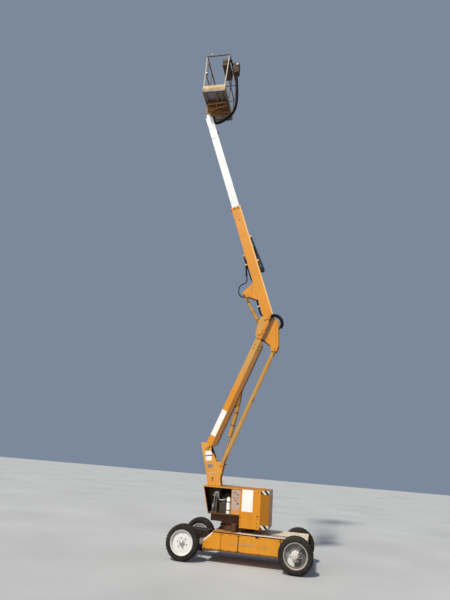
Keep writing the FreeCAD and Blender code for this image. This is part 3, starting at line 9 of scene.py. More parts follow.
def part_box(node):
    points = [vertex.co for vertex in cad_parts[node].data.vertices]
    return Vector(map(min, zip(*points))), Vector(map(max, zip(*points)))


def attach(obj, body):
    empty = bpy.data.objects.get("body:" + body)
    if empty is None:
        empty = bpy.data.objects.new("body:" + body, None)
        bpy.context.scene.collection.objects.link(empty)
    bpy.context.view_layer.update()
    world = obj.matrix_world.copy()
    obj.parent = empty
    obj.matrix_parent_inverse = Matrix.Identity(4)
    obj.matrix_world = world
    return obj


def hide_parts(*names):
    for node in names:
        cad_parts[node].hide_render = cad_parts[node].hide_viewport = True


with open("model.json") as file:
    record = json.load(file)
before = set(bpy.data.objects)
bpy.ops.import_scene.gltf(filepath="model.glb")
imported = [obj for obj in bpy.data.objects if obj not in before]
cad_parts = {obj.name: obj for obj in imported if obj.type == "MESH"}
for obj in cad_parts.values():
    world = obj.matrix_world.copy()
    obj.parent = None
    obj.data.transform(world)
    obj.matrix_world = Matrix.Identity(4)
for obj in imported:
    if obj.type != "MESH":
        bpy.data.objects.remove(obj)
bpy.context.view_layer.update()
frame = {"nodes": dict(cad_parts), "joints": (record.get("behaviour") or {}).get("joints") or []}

AHEAD = Vector((1, 0, 0))
ACROSS = Vector((0, 1, 0))
UP = Vector((0, 0, 1))
SIGNS = (-1, 1)
JOINTS = {joint["name"]: joint for joint in frame["joints"]}


def pivot(joint):
    """The place of a hinge at rest."""
    return Vector(JOINTS[joint]["pos_m"])


def slide(joint):
    """The way in which a sliding joint moves."""
    return Vector(JOINTS[joint]["axis"])


def middle(node):
    low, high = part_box(node)
    return (low + high) / 2


class Boom:
    """Places on a boom: along it from its pin, across the machine and towards its underside."""

    def __init__(self, pin, along, under):
        self.pin, self.along, self.under = pin, along.normalized(), under.normalized()

    def at(self, along, across, under):
        return self.pin + self.along * along + ACROSS * across + self.under * under


lower_way = pivot("knuckle_level") - pivot("lower_boom_lift")
upper_way = slide("tele_slide")
LOWER = Boom(pivot("lower_boom_lift"), lower_way, Vector((lower_way.z, 0, -lower_way.x)))
UPPER = Boom(pivot("upper_boom_lift"), upper_way, Vector((-upper_way.z, 0, upper_way.x)))
CAGE_PIN = pivot("cage_level")


def place(x, y, z):
    return Vector((x, y, z))


def cage_at(along, across, above):
    return CAGE_PIN + Vector((along, across, above))


# Camera, floor and light

PHOTO_HIGH = 600
FOCAL_PIXELS = 455
SENSOR = 36
CAMERA_PLACE = Vector((1.395, -9.481, 1.67))
CAMERA_TURN, CAMERA_TILT, CAMERA_ROLL = 12.63, 109.75, 4.617
SKY = (0.20, 0.25, 0.33, 1)
LAMPS = (
    # name, where it shines from, strength, spread in degrees, colour
    ("key", (-0.30, -0.86, 1.05), 3.35, 5, (1.0, 0.95, 0.87)),
    ("fill", (-0.35, -0.93, 0.12), 1.12, 60, (1.0, 0.97, 0.93)),
)
FLOOR_SIZE = 60


def rotation(degrees, axis):
    return Matrix.Rotation(math.radians(degrees), 4, axis)


def link(thing):
    bpy.context.scene.collection.objects.link(thing)
    return thing


def camera():
    data = bpy.data.cameras.new("camera")
    data.sensor_width = SENSOR
    data.lens = FOCAL_PIXELS * SENSOR / PHOTO_HIGH
    data.clip_end = 200
    thing = link(bpy.data.objects.new("camera", data))
    turned = rotation(CAMERA_TURN, "Z") @ rotation(CAMERA_TILT, "X") @ rotation(CAMERA_ROLL, "Z")
    thing.matrix_world = Matrix.Translation(CAMERA_PLACE) @ turned
    bpy.context.scene.camera = thing
    bpy.context.scene.view_settings.view_transform = "Standard"


def light():
    world = bpy.data.worlds.new("studio")
    bpy.context.scene.world = world
    world.use_nodes = True
    world.node_tree.nodes["Background"].inputs["Color"].default_value = SKY
    world.node_tree.nodes["Background"].inputs["Strength"].default_value = 1.0
    for name, from_way, strength, spread, colour in LAMPS:
        data = bpy.data.lights.new(name, "SUN")
        data.energy, data.angle, data.color = strength, math.radians(spread), colour
        lamp = link(bpy.data.objects.new(name, data))
        lamp.rotation_euler = Vector(from_way).to_track_quat("Z", "Y").to_euler()


def floor():
    mesh = bpy.data.meshes.new("floor")
    corners = [(x * FLOOR_SIZE, y * FLOOR_SIZE, 0) for x, y in ((-1, -1), (1, -1), (1, 1), (-1, 1))]
    mesh.from_pydata(corners, [], [(0, 1, 2, 3)])
    mesh.materials.append(FINISHES["floor"])
    link(bpy.data.objects.new("floor", mesh))


# Finishes: each is a tree of nodes on object coordinates, laid in coats over a base colour

SHEEN = 0.28
ORANGE = (0.60, 0.222, 0.006)
PALE_ORANGE = (0.66, 0.30, 0.03)
# A pale tan, laid on the lower boom towards the knuckle and on the knuckle's lower end
PALE_TAN = (0.46, 0.30, 0.10)
BROWN = (0.20, 0.075, 0.012)
RUST = (0.13, 0.05, 0.022)
DUST = (0.33, 0.27, 0.2)
# Dark brown of painted shade, for the chassis's nose and the beam between its covers
PAINTED_SHADE = (0.028, 0.018, 0.012)
CREAM = (0.80, 0.70, 0.54)
CONTROL_SPLIT = 0.895
STRIPE, STRIPE_LEAN = 0.165, 1.4
DECK_PALE = (-0.05, 0.12)
NOSE_START = -0.662
TAIL_CUT = 0.337
DOOR_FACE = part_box("side_door")[1].y - 0.002
FLOOR_SHADE = 0.46
FLOOR_BARS = CAGE_PIN.z + 0.195
CAGE_FLOOR_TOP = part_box("cage_floor")[1].z
SHELL_MOUTH = 0.438
SHELL_BACK = -0.041
SHELL_FLOOR, SHELL_ROOF = 0.811, 1.241
SHELL_FRONT, SHELL_INWARD = Vector((-0.634, 0, 0.790)), Vector((0.452, 0, 0.119)).normalized()
DISH_RADIUS, FLANGE_RADIUS = 0.181, 0.187
TELE_BANDS = (
    # both ends from the tip, colour
    # the first band is painted shade
    (0.40, 0.62, (0.40, 0.42, 0.44)),
    (0.880, 0.906, (0.24, 0.25, 0.26)),
)


def add_node(tree, kind, inputs, settings):
    """A node with its settings, whose inputs are linked or set."""
    node = tree.nodes.new(kind)
    for name, value in settings.items():
        setattr(node, name, value)
    for key, value in dict(inputs).items():
        if isinstance(value, bpy.types.NodeSocket):
            tree.links.new(value, node.inputs[key])
        else:
            node.inputs[key].default_value = value
    return node


class Finish:
    """A material whose coats are added one by one and then wired to its shader."""

    def __init__(self, name, colour, roughness, metallic=0.0, sheen=SHEEN):
        self.material = bpy.data.materials.new(name)
        self.material.use_nodes = True
        self.material.diffuse_color = (*colour, 1)
        self.tree = self.material.node_tree
        self.shader = self.tree.nodes["Principled BSDF"]
        self.shader.inputs["Metallic"].default_value = metallic
        self.shader.inputs["Specular IOR Level"].default_value = sheen
        self.here = self.add("ShaderNodeTexCoord").outputs["Object"]
        self.colour = (*colour, 1)
        self.roughness = roughness
        self.normal = None

    def add(self, kind, inputs=(), **settings):
        return add_node(self.tree, kind, inputs, settings)

    def sum(self, operation, *values):
        return self.add("ShaderNodeMath", enumerate(values), operation=operation).outputs[0]

    def all_of(self, mask, *others):
        """A mask that is 1 where all of these are."""
        for other in others:
            mask = self.sum("MULTIPLY", mask, other)
        return mask

    def axis(self, name):
        return self.add("ShaderNodeSeparateXYZ", {0: self.here}).outputs[name]

    def facing(self, name):
        """How far a face looks along an axis."""
        normal = self.add("ShaderNodeNewGeometry").outputs["Normal"]
        return self.add("ShaderNodeSeparateXYZ", {0: normal}).outputs[name]

    def reach(self, way, start):
        """How far a place lies from start along a way."""
        dot = self.add("ShaderNodeVectorMath", {0: self.here, 1: tuple(way)}, operation="DOT_PRODUCT")
        return self.sum("SUBTRACT", dot.outputs["Value"], start.dot(way))

    def noise(self, scale, detail=3.0, stretch=None):
        where = self.here
        if stretch:
            where = self.add("ShaderNodeMapping", {"Vector": self.here, "Scale": stretch}).outputs[0]
        return self.add("ShaderNodeTexNoise", {"Vector": where, "Scale": scale, "Detail": detail}).outputs[0]

    def between(self, value, low, high, start=0.0, end=1.0):
        """value spread from low..high to start..end and held there."""
        return self.add("ShaderNodeMapRange", {0: value, 1: low, 2: high, 3: start, 4: end}).outputs[0]

    def past(self, name, low, high):
        """A mask that starts at low on an axis and is full at high."""
        return self.between(self.axis(name), low, high)

    def mottle(self, scale, detail, low, high):
        """A mask of noise, from the value where it starts to the one where it is full."""
        return self.between(self.noise(scale, detail), low, high)

    def coat(self, mask, colour, amount=1.0):
        """Another colour where the mask is 1."""
        if amount != 1.0:
            mask = self.sum("MULTIPLY", mask, amount)
        mixed = self.add("ShaderNodeMix", {0: mask, 6: self.colour, 7: (*colour, 1)}, data_type="RGBA")
        self.colour = mixed.outputs[2]

    def edges(self, reach):
        """A mask of the corners of the shape, whose normal it rounds."""
        rounded = self.add("ShaderNodeBevel", {"Radius": reach}, samples=4).outputs[0]
        flat = self.add("ShaderNodeNewGeometry").outputs["Normal"]
        likeness = self.add("ShaderNodeVectorMath", {0: rounded, 1: flat}, operation="DOT_PRODUCT")
        self.normal = rounded
        return self.between(likeness.outputs["Value"], 0.995, 0.9)

    def upward(self):
        """A mask of the faces that look up, where dust lies."""
        return self.between(self.facing("Z"), 0.6, 0.95)

    def bump(self, height, distance, strength=0.6):
        inputs = {"Strength": strength, "Distance": distance, "Height": height}
        if self.normal:
            inputs["Normal"] = self.normal
        self.normal = self.add("ShaderNodeBump", inputs).outputs[0]

    def done(self):
        """Wire the coats to the shader."""
        for name, value in (("Base Color", self.colour), ("Roughness", self.roughness),
                            ("Normal", self.normal)):
            if isinstance(value, bpy.types.NodeSocket):
                self.tree.links.new(value, self.shader.inputs[name])
            elif value is not None:
                self.shader.inputs[name].default_value = value
        return self.material


def paint(name, colour=ORANGE, faded=PALE_ORANGE, grime=BROWN, bare=RUST, roughness=0.42, wear=0.8,
          streaks=0.35):
    """Machine paint: sun-faded patches, rain streaks, chipped edges, specks and orange peel."""
    finish = Finish(name, colour, roughness)
    finish.coat(finish.mottle(1.6, 4, 0.4, 0.72), faded, 0.5)
    finish.coat(finish.mottle(14, 5, 0.5, 0.8), grime, 0.16)
    runs = finish.between(finish.noise(11, 3, (1, 1, 0.07)), 0.54, 0.8)
    finish.coat(runs, grime, streaks)
    finish.coat(finish.upward(), grime, 0.25)
    chips = finish.all_of(finish.edges(0.006), finish.mottle(70, 4, 0.46, 0.6))
    finish.coat(chips, bare, wear)
    finish.coat(finish.mottle(120, 2, 0.72, 0.78), bare, 0.6)
    finish.roughness = finish.between(finish.noise(5, 4), 0.3, 0.75, roughness - 0.08, roughness + 0.16)
    finish.bump(finish.noise(240, 2), 0.0004)
    finish.bump(finish.noise(7, 3), 0.003, 0.25)
    return finish


def metal(name, colour, roughness, grime, scale=60, stretch=None):
    """Bare or plated metal with fine marks and some oil."""
    finish = Finish(name, colour, roughness, 1.0)
    marks = finish.noise(scale, 5, stretch)
    finish.coat(finish.mottle(6, 4, 0.45, 0.75), grime, 0.5)
    finish.coat(finish.between(marks, 0.55, 0.8), grime, 0.3)
    finish.edges(0.003)
    finish.roughness = finish.between(marks, 0.3, 0.7, roughness - 0.05, roughness + 0.15)
    finish.bump(marks, 0.0004)
    return finish


def dull(name, colour, roughness, dusty, scale=45, dust=0.4):
    """Rubber, plastic or cast parts that catch dust."""
    finish = Finish(name, colour, roughness, sheen=SHEEN / 2)
    finish.coat(finish.mottle(4, 4, 0.42, 0.75), dusty, dust)
    finish.coat(finish.upward(), dusty, dust)
    finish.coat(finish.between(finish.edges(0.004), 0.2, 1.0), dusty, 0.35)
    finish.roughness = finish.between(finish.noise(scale, 3), 0.3, 0.7, roughness - 0.08, roughness + 0.1)
    finish.bump(finish.noise(scale * 6, 3), 0.0005)
    return finish


def tyre_rubber():
    finish = dull("tyre_rubber", (0.016, 0.013, 0.011), 0.8, (0.07, 0.058, 0.046), 30, 0.45)
    finish.coat(finish.mottle(26, 5, 0.5, 0.75), (0.08, 0.066, 0.05), 0.35)
    return finish


def chassis_paint():
    """Orange covers; the nose and the beam between the front wheels are painted dark brown as shade."""
    finish = paint("chassis_paint")
    finish.coat(finish.past("X", NOSE_START, NOSE_START - 0.004), PAINTED_SHADE, 0.95)
    between_covers = finish.between(finish.sum("ABSOLUTE", finish.axis("Y")), 0.512, 0.508)
    finish.coat(finish.all_of(between_covers, finish.past("X", -0.44, -0.46)), PAINTED_SHADE, 0.95)
    return finish


def deck_paint():
    """The deck: orange in front, turning cream towards the drive end."""
    finish = paint("deck_paint", grime=DUST, roughness=0.55)
    ragged = finish.sum("ADD", finish.axis("X"), finish.sum("MULTIPLY", finish.noise(7, 4), 0.2))
    finish.coat(finish.between(ragged, *DECK_PALE), CREAM, 0.85)
    return finish


def panel_paint():
    """The ground control panel: a greyish face above an orange foot."""
    finish = paint("panel_paint", (0.44, 0.32, 0.25), (0.52, 0.40, 0.33), roughness=0.5, wear=0.5,
                   streaks=0.15)
    finish.coat(finish.past("Z", CONTROL_SPLIT, CONTROL_SPLIT - 0.004), ORANGE, 0.8)
    return finish


def stripe_paint():
    """Slanting bands of black and white, which run on round the tail's cut corners."""
    finish = dull("stripe_paint", (0.80, 0.74, 0.60), 0.5, DUST, 40, 0.15)
    side = finish.sum("SIGN", finish.axis("Y"))
    along = finish.sum("SUBTRACT", finish.axis("Y"), finish.sum("MULTIPLY", finish.axis("X"), side))
    slant = finish.sum("MULTIPLY_ADD", finish.axis("Z"), STRIPE_LEAN, along)
    share = finish.sum("FRACT", finish.sum("DIVIDE", slant, STRIPE))
    finish.coat(finish.between(share, 0.5, 0.52), (0.006, 0.006, 0.006), 0.97)
    return finish


def ragged_depth(finish, scale, amount):
    """How far a place lies under the lower boom's pin, with a ragged edge."""
    return finish.sum("ADD", finish.reach(LOWER.under, LOWER.pin),
                      finish.sum("MULTIPLY", finish.noise(scale), amount))


def lower_boom_paint():
    """Orange, turning pale tan towards the knuckle, with painted shade in brown along its underside."""
    finish = paint("lower_boom_paint")
    finish.coat(finish.between(finish.reach(LOWER.along, LOWER.pin), 1.25, 1.9), PALE_TAN, 0.55)
    # Painted shade: a brown band along the boom's underside
    finish.coat(finish.between(ragged_depth(finish, 5, 0.02), 0.082, 0.096), BROWN, 0.85)
    return finish


def knuckle_paint():
    """Orange, pale tan where the lower boom ends, with a band of painted shade along its underside."""
    finish = paint("knuckle_paint")
    depth = ragged_depth(finish, 6, 0.03)
    finish.coat(finish.between(depth, 0.05, 0.02), PALE_TAN, 0.45)
    # Painted shade: a dark band in line with the lower boom's underside
    shade_band = finish.all_of(finish.between(depth, 0.085, 0.10), finish.between(depth, 0.205, 0.18))
    finish.coat(shade_band, (0.075, 0.03, 0.009), 0.88)
    return finish


def upper_boom_paint():
    """Orange with a painted highlight along its back edge."""
    finish = paint("upper_boom_paint")
    # Painted highlight: a pale cream band along the back edge
    finish.coat(finish.between(finish.reach(UPPER.under, UPPER.pin), -0.168, -0.188), (0.80, 0.52, 0.20), 0.7)
    return finish


def tail_paint():
    """The tail: orange, with painted shade that makes its cut corners browner."""
    finish = paint("tail_paint")
    finish.coat(finish.past("X", TAIL_CUT, TAIL_CUT + 0.003), (0.34, 0.135, 0.012), 0.6)
    return finish


def door_paint():
    """The side door: orange outside, its inner face painted near-black as shade."""
    finish = paint("door_paint")
    finish.coat(finish.past("Y", DOOR_FACE, DOOR_FACE - 0.001), (0.022, 0.014, 0.009), 0.94)
    return finish


def post_paint():
    """A paler orange, with painted shade on its sides where it runs through the compartment."""
    finish = paint("post_paint", (0.60, 0.27, 0.035), (0.64, 0.38, 0.11))
    sides = finish.between(finish.sum("ABSOLUTE", finish.facing("Y")), 0.4, 0.6)
    below_roof = finish.past("Z", SHELL_ROOF, SHELL_ROOF - 0.002)
    # Painted shade on the post's sides below the compartment roof
    finish.coat(finish.all_of(sides, below_roof), (0.030, 0.018, 0.010), 0.9)
    return finish


def toe_paint():
    """The toe board: cream along its top edge, tan below."""
    finish = paint("toe_paint", (0.36, 0.205, 0.075), (0.42, 0.27, 0.12), roughness=0.5, streaks=0.5)
    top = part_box("cage_toe_board")[1].z
    finish.coat(finish.past("Z", top - 0.085, top - 0.07), (0.60, 0.42, 0.19), 0.8)
    return finish


def shell_paint():
    """Orange outside and painted near-black as shade in the compartment, front edges left bare."""
    finish = paint("shell_paint")
    inside = finish.all_of(
        finish.between(finish.sum("ABSOLUTE", finish.axis("Y")), SHELL_MOUTH, SHELL_MOUTH - 0.004),
        finish.between(finish.reach(SHELL_INWARD, SHELL_FRONT), 0.009, 0.011),
        finish.past("X", SHELL_BACK, SHELL_BACK - 0.002),
        finish.past("Z", SHELL_FLOOR, SHELL_FLOOR + 0.002),
        finish.past("Z", SHELL_ROOF, SHELL_ROOF - 0.002))
    # Painted shade over the compartment's inner faces
    finish.coat(inside, (0.010, 0.007, 0.006))
    return finish


def mount_paint():
    """Worn tan paint, road-grey on the bars against the floor."""
    finish = paint("mount_paint", (0.42, 0.20, 0.055), (0.52, 0.32, 0.14), roughness=0.5, wear=1.0,
                   streaks=0.6)
    finish.coat(finish.past("Z", FLOOR_BARS - 0.006, FLOOR_BARS), (0.115, 0.085, 0.072), 0.9)
    return finish


def cage_paint():
    """The cage's tubes in painted shade: dark brown rails, darker still underneath, a painted highlight on the
    posts on its left, and road-grey beams.
    """
    finish = paint("cage_paint", (0.15, 0.085, 0.045), (0.20, 0.12, 0.07), roughness=0.45, wear=1.0,
                   streaks=0.4)
    # Painted shade on the faces that look down
    finish.coat(finish.between(finish.facing("Z"), -0.15, -0.45), (0.05, 0.028, 0.015), 0.85)
    # Painted highlight: pale posts on the cage's left side
    left_side = finish.past("Y", -0.515, -0.525)
    below_rail = finish.past("Z", CAGE_PIN.z + 1.44, CAGE_PIN.z + 1.43)
    finish.coat(finish.all_of(left_side, below_rail), (0.66, 0.55, 0.40), 0.85)
    finish.coat(finish.past("Z", CAGE_FLOOR_TOP + 0.004, CAGE_FLOOR_TOP), (0.110, 0.090, 0.085), 0.94)
    return finish


def rim_paint():
    """White wheels; the deep rear ones are oily on the right of their dish's wall, with painted shade across
    its top.
    """
    finish = paint("rim_paint", (0.80, 0.78, 0.74), (0.66, 0.62, 0.56), (0.22, 0.16, 0.11), RUST, 0.5, 0.8,
                   0.2)
    wheel = pivot("rear_left_spin")
    across = finish.sum("SUBTRACT", finish.sum("ABSOLUTE", finish.axis("X")), wheel.x)
    tall = finish.sum("SUBTRACT", finish.axis("Z"), wheel.z)
    radius = finish.sum("SQRT",
                        finish.sum("ADD", finish.sum("POWER", across, 2.0), finish.sum("POWER", tall, 2.0)))
    ragged = finish.sum("MULTIPLY_ADD", finish.noise(18, 4), 0.016, radius)
    rear = finish.past("X", 0.0, 0.01)
    finish.coat(finish.between(rear, 1.0, 0.0), (0.60, 0.575, 0.54), 0.55)
    dish = finish.all_of(rear, finish.between(radius, DISH_RADIUS + 0.001, DISH_RADIUS - 0.001))
    lip = finish.all_of(rear, finish.between(radius, DISH_RADIUS - 0.001, DISH_RADIUS + 0.001))
    finish.coat(lip, (0.075, 0.062, 0.05), 0.82)
    flange = finish.all_of(rear, finish.between(radius, FLANGE_RADIUS - 0.0005, FLANGE_RADIUS + 0.0005))
    finish.coat(flange, (0.56, 0.51, 0.44), 0.5)
    slant = finish.sum("MULTIPLY_ADD", tall, -0.39, across)
    oily = finish.between(finish.sum("MULTIPLY_ADD", finish.noise(13, 5), 0.11, slant), 0.088, 0.104)
    # Painted shade across the top of the rear dish, joined with the oil on its right
    shaded = finish.all_of(finish.between(ragged, 0.085, 0.125), finish.between(tall, 0.005, 0.06, 0.0, 0.8))
    finish.coat(finish.all_of(dish, finish.sum("MAXIMUM", oily, shaded)), (0.022, 0.017, 0.013), 0.88)
    finish.coat(finish.between(ragged, 0.075, 0.05), (0.30, 0.22, 0.15), 0.35)
    return finish


def tele_paint():
    """White paint with grey bands near the boom's tip; the first, wider band is painted shade."""
    finish = paint("tele_paint", (0.70, 0.705, 0.695), (0.61, 0.62, 0.61), DUST, (0.32, 0.30, 0.27), 0.36,
                   0.5, 0.2)
    from_tip = finish.reach(UPPER.along * -1, CAGE_PIN)
    for start, end, colour in TELE_BANDS:
        starts = finish.between(from_tip, start, start + 0.004)
        finish.coat(finish.all_of(starts, finish.between(from_tip, end, end - 0.004)), colour, 0.9)
    return finish


def floor_finish():
    finish = Finish("floor", (FLOOR_SHADE, FLOOR_SHADE, FLOOR_SHADE * 0.98), 0.9)
    finish.coat(finish.mottle(0.4, 4, 0.3, 0.7), (0.62, 0.62, 0.61), 0.5)
    return finish


FINISHES = {made.material.name: made.done() for made in (
    paint("orange_paint"),
    # paints: colour, faded, grime, bare, roughness, wear, streaks
    paint("brown_paint", (0.085, 0.036, 0.014), (0.11, 0.05, 0.02), RUST, RUST, 0.6, 0.9, 0.5),
    # brown-orange of painted shade, for the mount's struts
    paint("mount_strut_shade_paint", (0.30, 0.145, 0.045), (0.40, 0.24, 0.11), BROWN, RUST, 0.5, 1.0, 0.6),
    paint("tan_paint", (0.44, 0.215, 0.035), (0.54, 0.34, 0.12), BROWN, RUST, 0.5, 1.0, 0.6),
    paint("console_paint", (0.045, 0.026, 0.012), (0.065, 0.038, 0.018), RUST, RUST, 0.6, 0.8, 0.5),
    paint("white_plate", (0.84, 0.80, 0.74), (0.76, 0.71, 0.63), DUST, (0.45, 0.42, 0.38), 0.35, 0.3, 0.15),
    paint("grey_enamel", (0.19, 0.178, 0.185), (0.23, 0.212, 0.215), BROWN, RUST, 0.55, 0.5, 0.3),
    paint("ghost_plate", (0.50, 0.235, 0.045), (0.46, 0.25, 0.08), DUST, BROWN, 0.45, 0.2, 0.1),
    lower_boom_paint(), upper_boom_paint(), shell_paint(), mount_paint(), cage_paint(), rim_paint(),
    chassis_paint(), tail_paint(), door_paint(), post_paint(), knuckle_paint(), toe_paint(), deck_paint(),
    panel_paint(), stripe_paint(), tele_paint(), floor_finish(), tyre_rubber(),
    # dull ones: colour, roughness, dusty, scale, dust
    dull("hose_rubber", (0.004, 0.004, 0.005), 0.55, (0.016, 0.015, 0.015), 60, 0.25),
    dull("cast_iron", (0.035, 0.031, 0.027), 0.62, (0.13, 0.10, 0.07), 35, 0.45),
    dull("old_iron", (0.09, 0.082, 0.075), 0.5, (0.15, 0.12, 0.09), 35, 0.4),
    dull("moulded_plastic", (0.006, 0.006, 0.006), 0.5, (0.022, 0.018, 0.015), 50, 0.2),
    dull("canister_plastic", (0.88, 0.87, 0.78), 0.45, DUST, 30, 0.2),
    dull("red_plastic", (0.45, 0.02, 0.015), 0.35, (0.30, 0.10, 0.08), 50, 0.1),
    dull("pale_lens", (0.55, 0.66, 0.68), 0.15, (0.5, 0.5, 0.45), 50, 0.1),
    dull("cream_plastic", (0.60, 0.50, 0.36), 0.55, BROWN, 50, 0.15),
    dull("slot_rubber", (0.014, 0.013, 0.013), 0.7, (0.14, 0.13, 0.12), 40, 0.4),
    # metals: colour, roughness, grime, scale, stretch
    metal("bare_steel", (0.50, 0.50, 0.50), 0.34, (0.22, 0.18, 0.14)),
    metal("zinc", (0.60, 0.59, 0.55), 0.42, (0.30, 0.25, 0.18), 90),
    metal("oiled_rod", (0.55, 0.40, 0.24), 0.3, (0.45, 0.25, 0.10), 90, (1, 1, 0.1)),
    metal("dark_bolt", (0.075, 0.068, 0.06), 0.5, (0.05, 0.035, 0.025), 90),
)}

WHEELS = ("front_left", "front_right", "rear_left", "rear_right")
NODE_FINISH = {node: finish for finish, nodes in (
    ("chassis_paint", ["chassis_frame"]),
    ("deck_paint", ["chassis_deck"]),
    # Painted shade: the pedestal and the turntable bed take the dark brown paint
    ("brown_paint", ["slew_pedestal", "turntable_bed", "slew_motor"]),
    ("cast_iron", ["steer_axle", "drive_axle", "steer_knuckle_left", "steer_knuckle_right", "oil_tank"]),
    ("bare_steel", ["track_rod"]),
    ("tyre_rubber", [f"tyre_{wheel}" for wheel in WHEELS]),
    ("rim_paint", [f"rim_{wheel}" for wheel in WHEELS]),
    ("shell_paint", ["compartment_shell"]),
    ("tail_paint", ["tail_box"]),
    ("old_iron", ["pump_set", "valve_block"]),
    ("canister_plastic", ["filter_canister"]),
    ("panel_paint", ["control_panel"]),
    ("post_paint", ["post"]),
    ("door_paint", ["side_door"]),
    ("lower_boom_paint", ["lower_boom"]),
    ("tan_paint", ["tie_bars", "lift_barrel", "upper_barrel"]),
    ("oiled_rod", ["lift_rod", "upper_rod"]),
    ("knuckle_paint", ["boom_knuckle"]),
    ("upper_boom_paint", ["upper_boom"]),
    ("tele_paint", ["tele_boom"]),
    ("moulded_plastic", ["hose_chain"]),
    ("mount_paint", ["cage_mount"]),
    ("grey_enamel", ["cage_floor"]),
    ("toe_paint", ["cage_toe_board"]),
    ("cage_paint", ["cage_frame", "cage_gate_bar"]),
    ("console_paint", ["cage_control_box", "cage_junction_box"]),
    ("hose_rubber", ["hose_knuckle", "hose_boom", "cage_hoses"]),
) for node in nodes}


def finish_nodes():
    for name, thing in frame["nodes"].items():
        finish = FINISHES[NODE_FINISH[name]]
        if thing.material_slots:
            for place_of in thing.material_slots:
                place_of.material = finish
        else:
            thing.data.materials.append(finish)


# Mesh making

def rounded(width, height, corner, steps):
    """The outline of a rectangle with round corners, anticlockwise."""
    wide, high = width / 2, height / 2
    if not corner:
        return [(-wide, -high), (wide, -high), (wide, high), (-wide, high)]
    ring = []
    for i, (x, z) in enumerate(((1, 1), (-1, 1), (-1, -1), (1, -1))):
        for step in range(steps + 1):
            angle = math.pi / 2 * (i + step / steps)
            ring.append((x * (wide - corner) + corner * math.cos(angle),
                         z * (high - corner) + corner * math.sin(angle)))
    return ring


def ways_across(axis):
    """An axis of length 1 and two ways across it."""
    axis = axis.normalized()
    side = axis.orthogonal().normalized()
    return axis, side, axis.cross(side)


def spokes(side, other, count, phase=0.0):
    """Ways all round, from two of them."""
    turns = [2 * math.pi * (i + phase) / count for i in range(count)]
    return [side * math.cos(turn) + other * math.sin(turn) for turn in turns]


class Form:
    """A mesh put together from plates, turned shapes and pipes."""

    BEVEL = 0.002
    POINT = 0.0004
    BEND_STEPS = 5

    def __init__(self):
        self.mesh = bmesh.new()

    def loft(self, rings, closed=False):
        """Skin a row of like rings of points, with a face over each end."""
        made = [[self.mesh.verts.new(point) for point in ring] for ring in rings]
        count = len(made[0])
        pairs = zip(made, made[1:] + made[:1]) if closed else zip(made, made[1:])
        for low, high in pairs:
            for i in range(count):
                j = (i + 1) % count
                self.mesh.faces.new((low[i], low[j], high[j], high[i]))
        if not closed:
            self.mesh.faces.new(list(reversed(made[0])))
            self.mesh.faces.new(made[-1])
        return self

    def plate(self, centre, across, up, width, height, depth, corner=0.0, steps=3):
        """A plate with round corners and a narrow bevel, from its back's centre towards its front."""
        across, up = across.normalized(), up.normalized()
        front = across.cross(up)
        bevel = min(depth * 0.35, self.BEVEL)
        rings = []
        for lift, less in ((0, 0), (depth - bevel, 0), (depth, bevel)):
            shape = rounded(width - 2 * less, height - 2 * less, max(corner - less, 0), steps)
            rings.append([centre + across * x + up * z + front * lift for x, z in shape])
        return self.loft(rings)

    def turned(self, centre, axis, profile, sides=24):
        """A shape turned about an axis from pairs of radius and distance along it."""
        axis, side, other = ways_across(axis)
        return self.loft([[centre + axis * along + spoke * max(radius, self.POINT)
                           for spoke in spokes(side, other, sides)] for radius, along in profile])

    def band(self, centre, axis, outline, sides=32):
        """A ring about an axis, from a closed outline of pairs of radius and distance along it."""
        axis, side, other = ways_across(axis)
        return self.loft([[centre + axis * along + spoke * radius for radius, along in outline]
                          for spoke in spokes(side, other, sides)], closed=True)

    def sweep(self, rows, side, sides):
        """A round skin through rows of place, way and radius."""
        rings = []
        for centre, way, radius in rows:
            side = (side - way * side.dot(way)).normalized()
            rings.append([centre + spoke * radius for spoke in spokes(side, way.cross(side), sides)])
        return self.loft(rings)

    def pipe(self, points, radius, sides=10, corner=0.45):
        """A round pipe through points, bent round at each of them."""
        points = [Vector(point) for point in points]
        path = [points[0]]
        for before, bend, after in zip(points, points[1:], points[2:]):
            start, end = bend.lerp(before, corner), bend.lerp(after, corner)
            for step in range(self.BEND_STEPS + 1):
                share = step / self.BEND_STEPS
                path.append(start.lerp(bend, share).lerp(bend.lerp(end, share), share))
        path.append(points[-1])
        ways = [(after - before).normalized()
                for before, after in zip(path[:1] + path[:-1], path[1:] + path[-1:])]
        rows = [(point, way, radius) for point, way in zip(path, ways)]
        return self.sweep(rows, (path[1] - path[0]).orthogonal().normalized(), sides)

    def done(self, name):
        bmesh.ops.recalc_face_normals(self.mesh, faces=self.mesh.faces)
        mesh = bpy.data.meshes.new(name)
        self.mesh.to_mesh(mesh)
        self.mesh.free()
        return mesh


def plates(rows, across=AHEAD, up=UP, at=place):
    """Plates from rows of three measures of place, then width, height, depth and corner."""
    form = Form()
    for x, y, z, *size in rows:
        form.plate(at(x, y, z), across, up, *size)
    return form


def side_plates(rows):
    """Plates on both sides of the machine, from rows like those of plates."""
    form = Form()
    for sign in SIGNS:
        for x, y, z, *size in rows:
            form.plate(Vector((x, sign * y, z)), AHEAD * -sign, UP, *size)
    return form


def piece(name, mesh, finish, body, slot, replaces=()):
    """A finished piece on its body, with its place in its mesh."""
    if isinstance(mesh, Form):
        mesh = mesh.done(name)
    mesh.materials.clear()
    mesh.materials.append(FINISHES[finish])
    mesh.polygons.foreach_set("use_smooth", [True] * len(mesh.polygons))
    mesh.set_sharp_from_angle(angle=math.radians(32))
    thing = link(bpy.data.objects.new(name, mesh))
    if replaces:
        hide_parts(*replaces)
    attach(thing, body)


def evaluated(thing):
    """The final mesh of an object, which is then removed."""
    seen = bpy.context.evaluated_depsgraph_get()
    mesh = bpy.data.meshes.new_from_object(thing.evaluated_get(seen))
    bpy.data.objects.remove(thing)
    return mesh


# Trees of geometry nodes for what repeats

